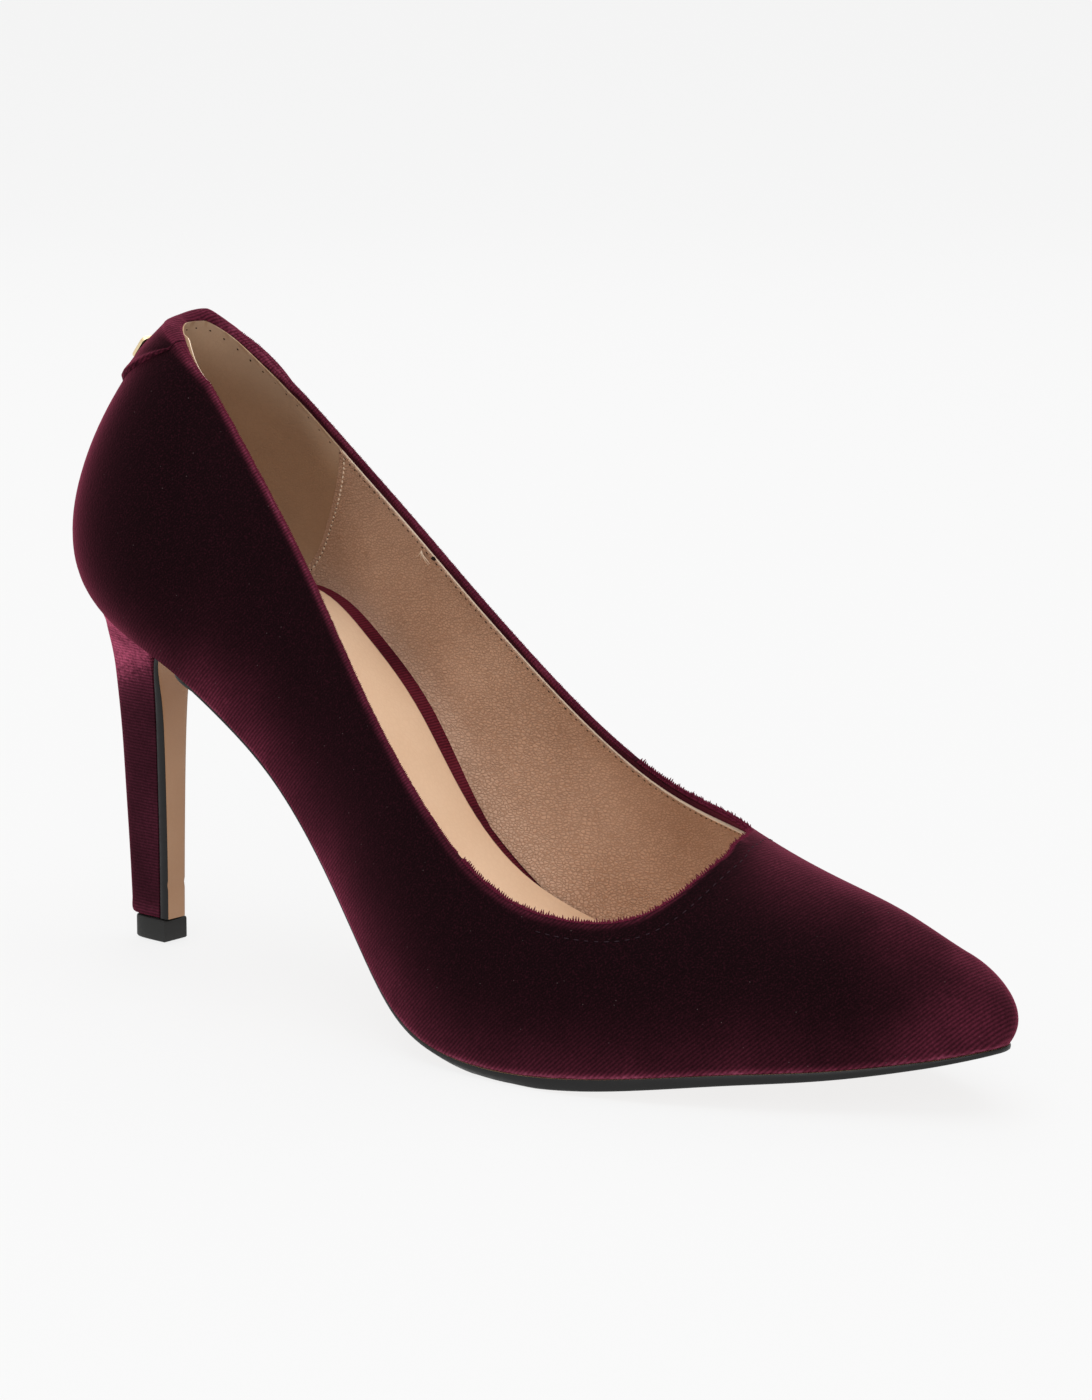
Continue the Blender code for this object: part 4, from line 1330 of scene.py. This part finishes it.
# its pale tone is the painted highlight on the flared top
heel.data.materials.append(velvet("heel velvet", LEVEL_ROWS, "#14070A", "#60283A", "#BA5674"))
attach(heel, "root")
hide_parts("heel")

# Top piece
# The black tip under the heel, moulded in hard rubber with a small round on its edges. It is pinned
# into the core of the heel and takes the wear.
TIP_BACK = 9.2
TIP_FRONT = 19.6
TIP_HALF = 3.5
TIP_ROUND = (
    (0.0, 0.5), (0.12, 0.18), (0.4, 0.0), (2.0, 0.0), (4.6, 0.0), (4.9, 0.1), (5.0, 0.3),
)
tip_rows = [
    column_ring(TIP_BACK + pull, TIP_FRONT - pull, TIP_HALF - pull, 0.0, lambda x, z=height: z)
    for height, pull in TIP_ROUND
]
tip = lasted_piece("heel_tip", [
    (np.array(tip_rows), 0, 0.0),
] + column_caps(tip_rows, np.zeros(len(tip_rows))))
# moulded rubber: black, satin, faintly pebbled
tip.data.materials.append(grained(
    "moulded black rubber", 1500.0, 3.0, ("#121211", "#1E1E1D"), (0.45, 0.6), (0.12, 0.0001), 0.3))
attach(tip, "root")
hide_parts("top_piece")

# Sock
# A thin leaf of peach leather glued on the insole, cut narrower than the insole along heel and waist
# so that the velvet covering shows there as a strip.
SOCK_STRIP = 5.8
SOCK_THICK = 0.8
SOCK_GAP = 0.1


def sock_inset(x, side, share):
    """How far the sock's edge lies inside the feather edge, at every share of its height."""
    return bed_inset(x, side, 1.0) + 0.3 + SOCK_STRIP * math.exp(-((x - 60.0) / 46.0) ** 6)


sock = lasted_piece("sock_leaf", [
    (leaf_grid(lambda x: bed(x) + SOCK_GAP, lambda x: bed(x) + 2.0 * SOCK_GAP + SOCK_THICK,
               sock_inset, LEAF_STEPS, LEAF_EDGE), 0, 0.0),
])
sock.data.materials.append(
    leather("peach sock leather", "#EBCBAB", "#DBB592", "#F4E2CC", 1.1, 0.55, 0.35, 0.25))
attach(sock, "root")
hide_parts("sock")

# Floor, light and camera
# A pale paper sweep under soft studio light: a large panel above, one from the front, one from behind
# and an even surround. The camera stands at the photograph's viewing angle.
AZIMUTH = 41.0
ELEVATION = 11.2
DISTANCE = 1.0
FOCAL_PIXELS = 4845.0
IMAGE_HIGH = 1400.0
TARGET_LAST = (120.0, 0.0, 73.5)
# where the target lies from the middle of the image
TARGET_PIXELS = (-30.0, -26.0)
SENSOR = 36.0
FLOOR_HALF = 6.0
FLOOR_SINK = 0.0002
SWEEP_BEND = 0.8
SWEEP_FROM = 1.6
SWEEP_TOP = 3.0
LIT_POINT = Vector((0.0, 0.0, 0.06))

floor_mesh = bpy.data.meshes.new("floor")
sweep = [(-FLOOR_HALF, 0.0), (SWEEP_FROM, 0.0)]
sweep += [(SWEEP_FROM + SWEEP_BEND * math.sin(a), SWEEP_BEND - SWEEP_BEND * math.cos(a))
          for a in np.linspace(0.1, 1.57, 14)]
sweep += [(SWEEP_FROM + SWEEP_BEND, SWEEP_TOP)]
turn = math.radians(90.0 + AZIMUTH)
ahead = (math.cos(turn), math.sin(turn))
beside = (-ahead[1], ahead[0])
floor_verts = []
for run, height in sweep:
    for span in (-FLOOR_HALF, FLOOR_HALF):
        floor_verts.append((ahead[0] * run + beside[0] * span, ahead[1] * run + beside[1] * span,
                            height - FLOOR_SINK))
floor_mesh.from_pydata(
    floor_verts, [], [(2 * i, 2 * i + 2, 2 * i + 3, 2 * i + 1) for i in range(len(sweep) - 1)])
floor_mesh.shade_smooth()
floor = bpy.data.objects.new("floor", floor_mesh)
bpy.context.scene.collection.objects.link(floor)
paper = bpy.data.materials.new("pale paper sweep")
paper.use_nodes = True
shader = paper.node_tree.nodes["Principled BSDF"]
shader.inputs["Base Color"].default_value = ink("#545454")
shader.inputs["Roughness"].default_value = 0.95
shader.inputs["Specular IOR Level"].default_value = 0.0
shader.inputs["Emission Color"].default_value = (1.0, 1.0, 1.0, 1.0)
shader.inputs["Emission Strength"].default_value = 0.82
floor.data.materials.append(paper)

world = bpy.data.worlds.new("even surround")
world.use_nodes = True
world.node_tree.nodes["Background"].inputs["Color"].default_value = (1.0, 1.0, 1.0, 1.0)
world.node_tree.nodes["Background"].inputs["Strength"].default_value = 0.7
bpy.context.scene.world = world

for name, place, size, power in (
    ("overhead panel", (0.1, -0.1, 1.5), 1.6, 16.0),
    ("front panel", (0.9, -1.3, 0.9), 1.0, 9.0),
    ("back panel", (-0.9, 0.9, 1.1), 0.9, 6.0),
):
    lamp = bpy.data.lights.new(name, "AREA")
    lamp.shape = "SQUARE"
    lamp.size = size
    lamp.energy = power
    holder = bpy.data.objects.new(name, lamp)
    holder.location = place
    holder.rotation_euler = (LIT_POINT - Vector(place)).to_track_quat("-Z", "Y").to_euler()
    bpy.context.scene.collection.objects.link(holder)

azimuth = math.radians(AZIMUTH)
elevation = math.radians(ELEVATION)
back_way = Vector((math.sin(azimuth) * math.cos(elevation), -math.cos(azimuth) * math.cos(elevation),
                   math.sin(elevation)))
target = Vector(to_frame(TARGET_LAST)[0].tolist())
lens = bpy.data.cameras.new("camera")
lens.sensor_width = SENSOR
lens.lens = FOCAL_PIXELS * SENSOR / IMAGE_HIGH
lens.shift_x = -TARGET_PIXELS[0] / IMAGE_HIGH
lens.shift_y = TARGET_PIXELS[1] / IMAGE_HIGH
lens.clip_start = 0.05
lens.clip_end = 20.0
camera = bpy.data.objects.new("camera", lens)
camera.location = target + back_way * DISTANCE
camera.rotation_euler = (-back_way).to_track_quat("-Z", "Y").to_euler()
bpy.context.scene.collection.objects.link(camera)
bpy.context.scene.camera = camera
bpy.context.scene.view_settings.view_transform = "Standard"
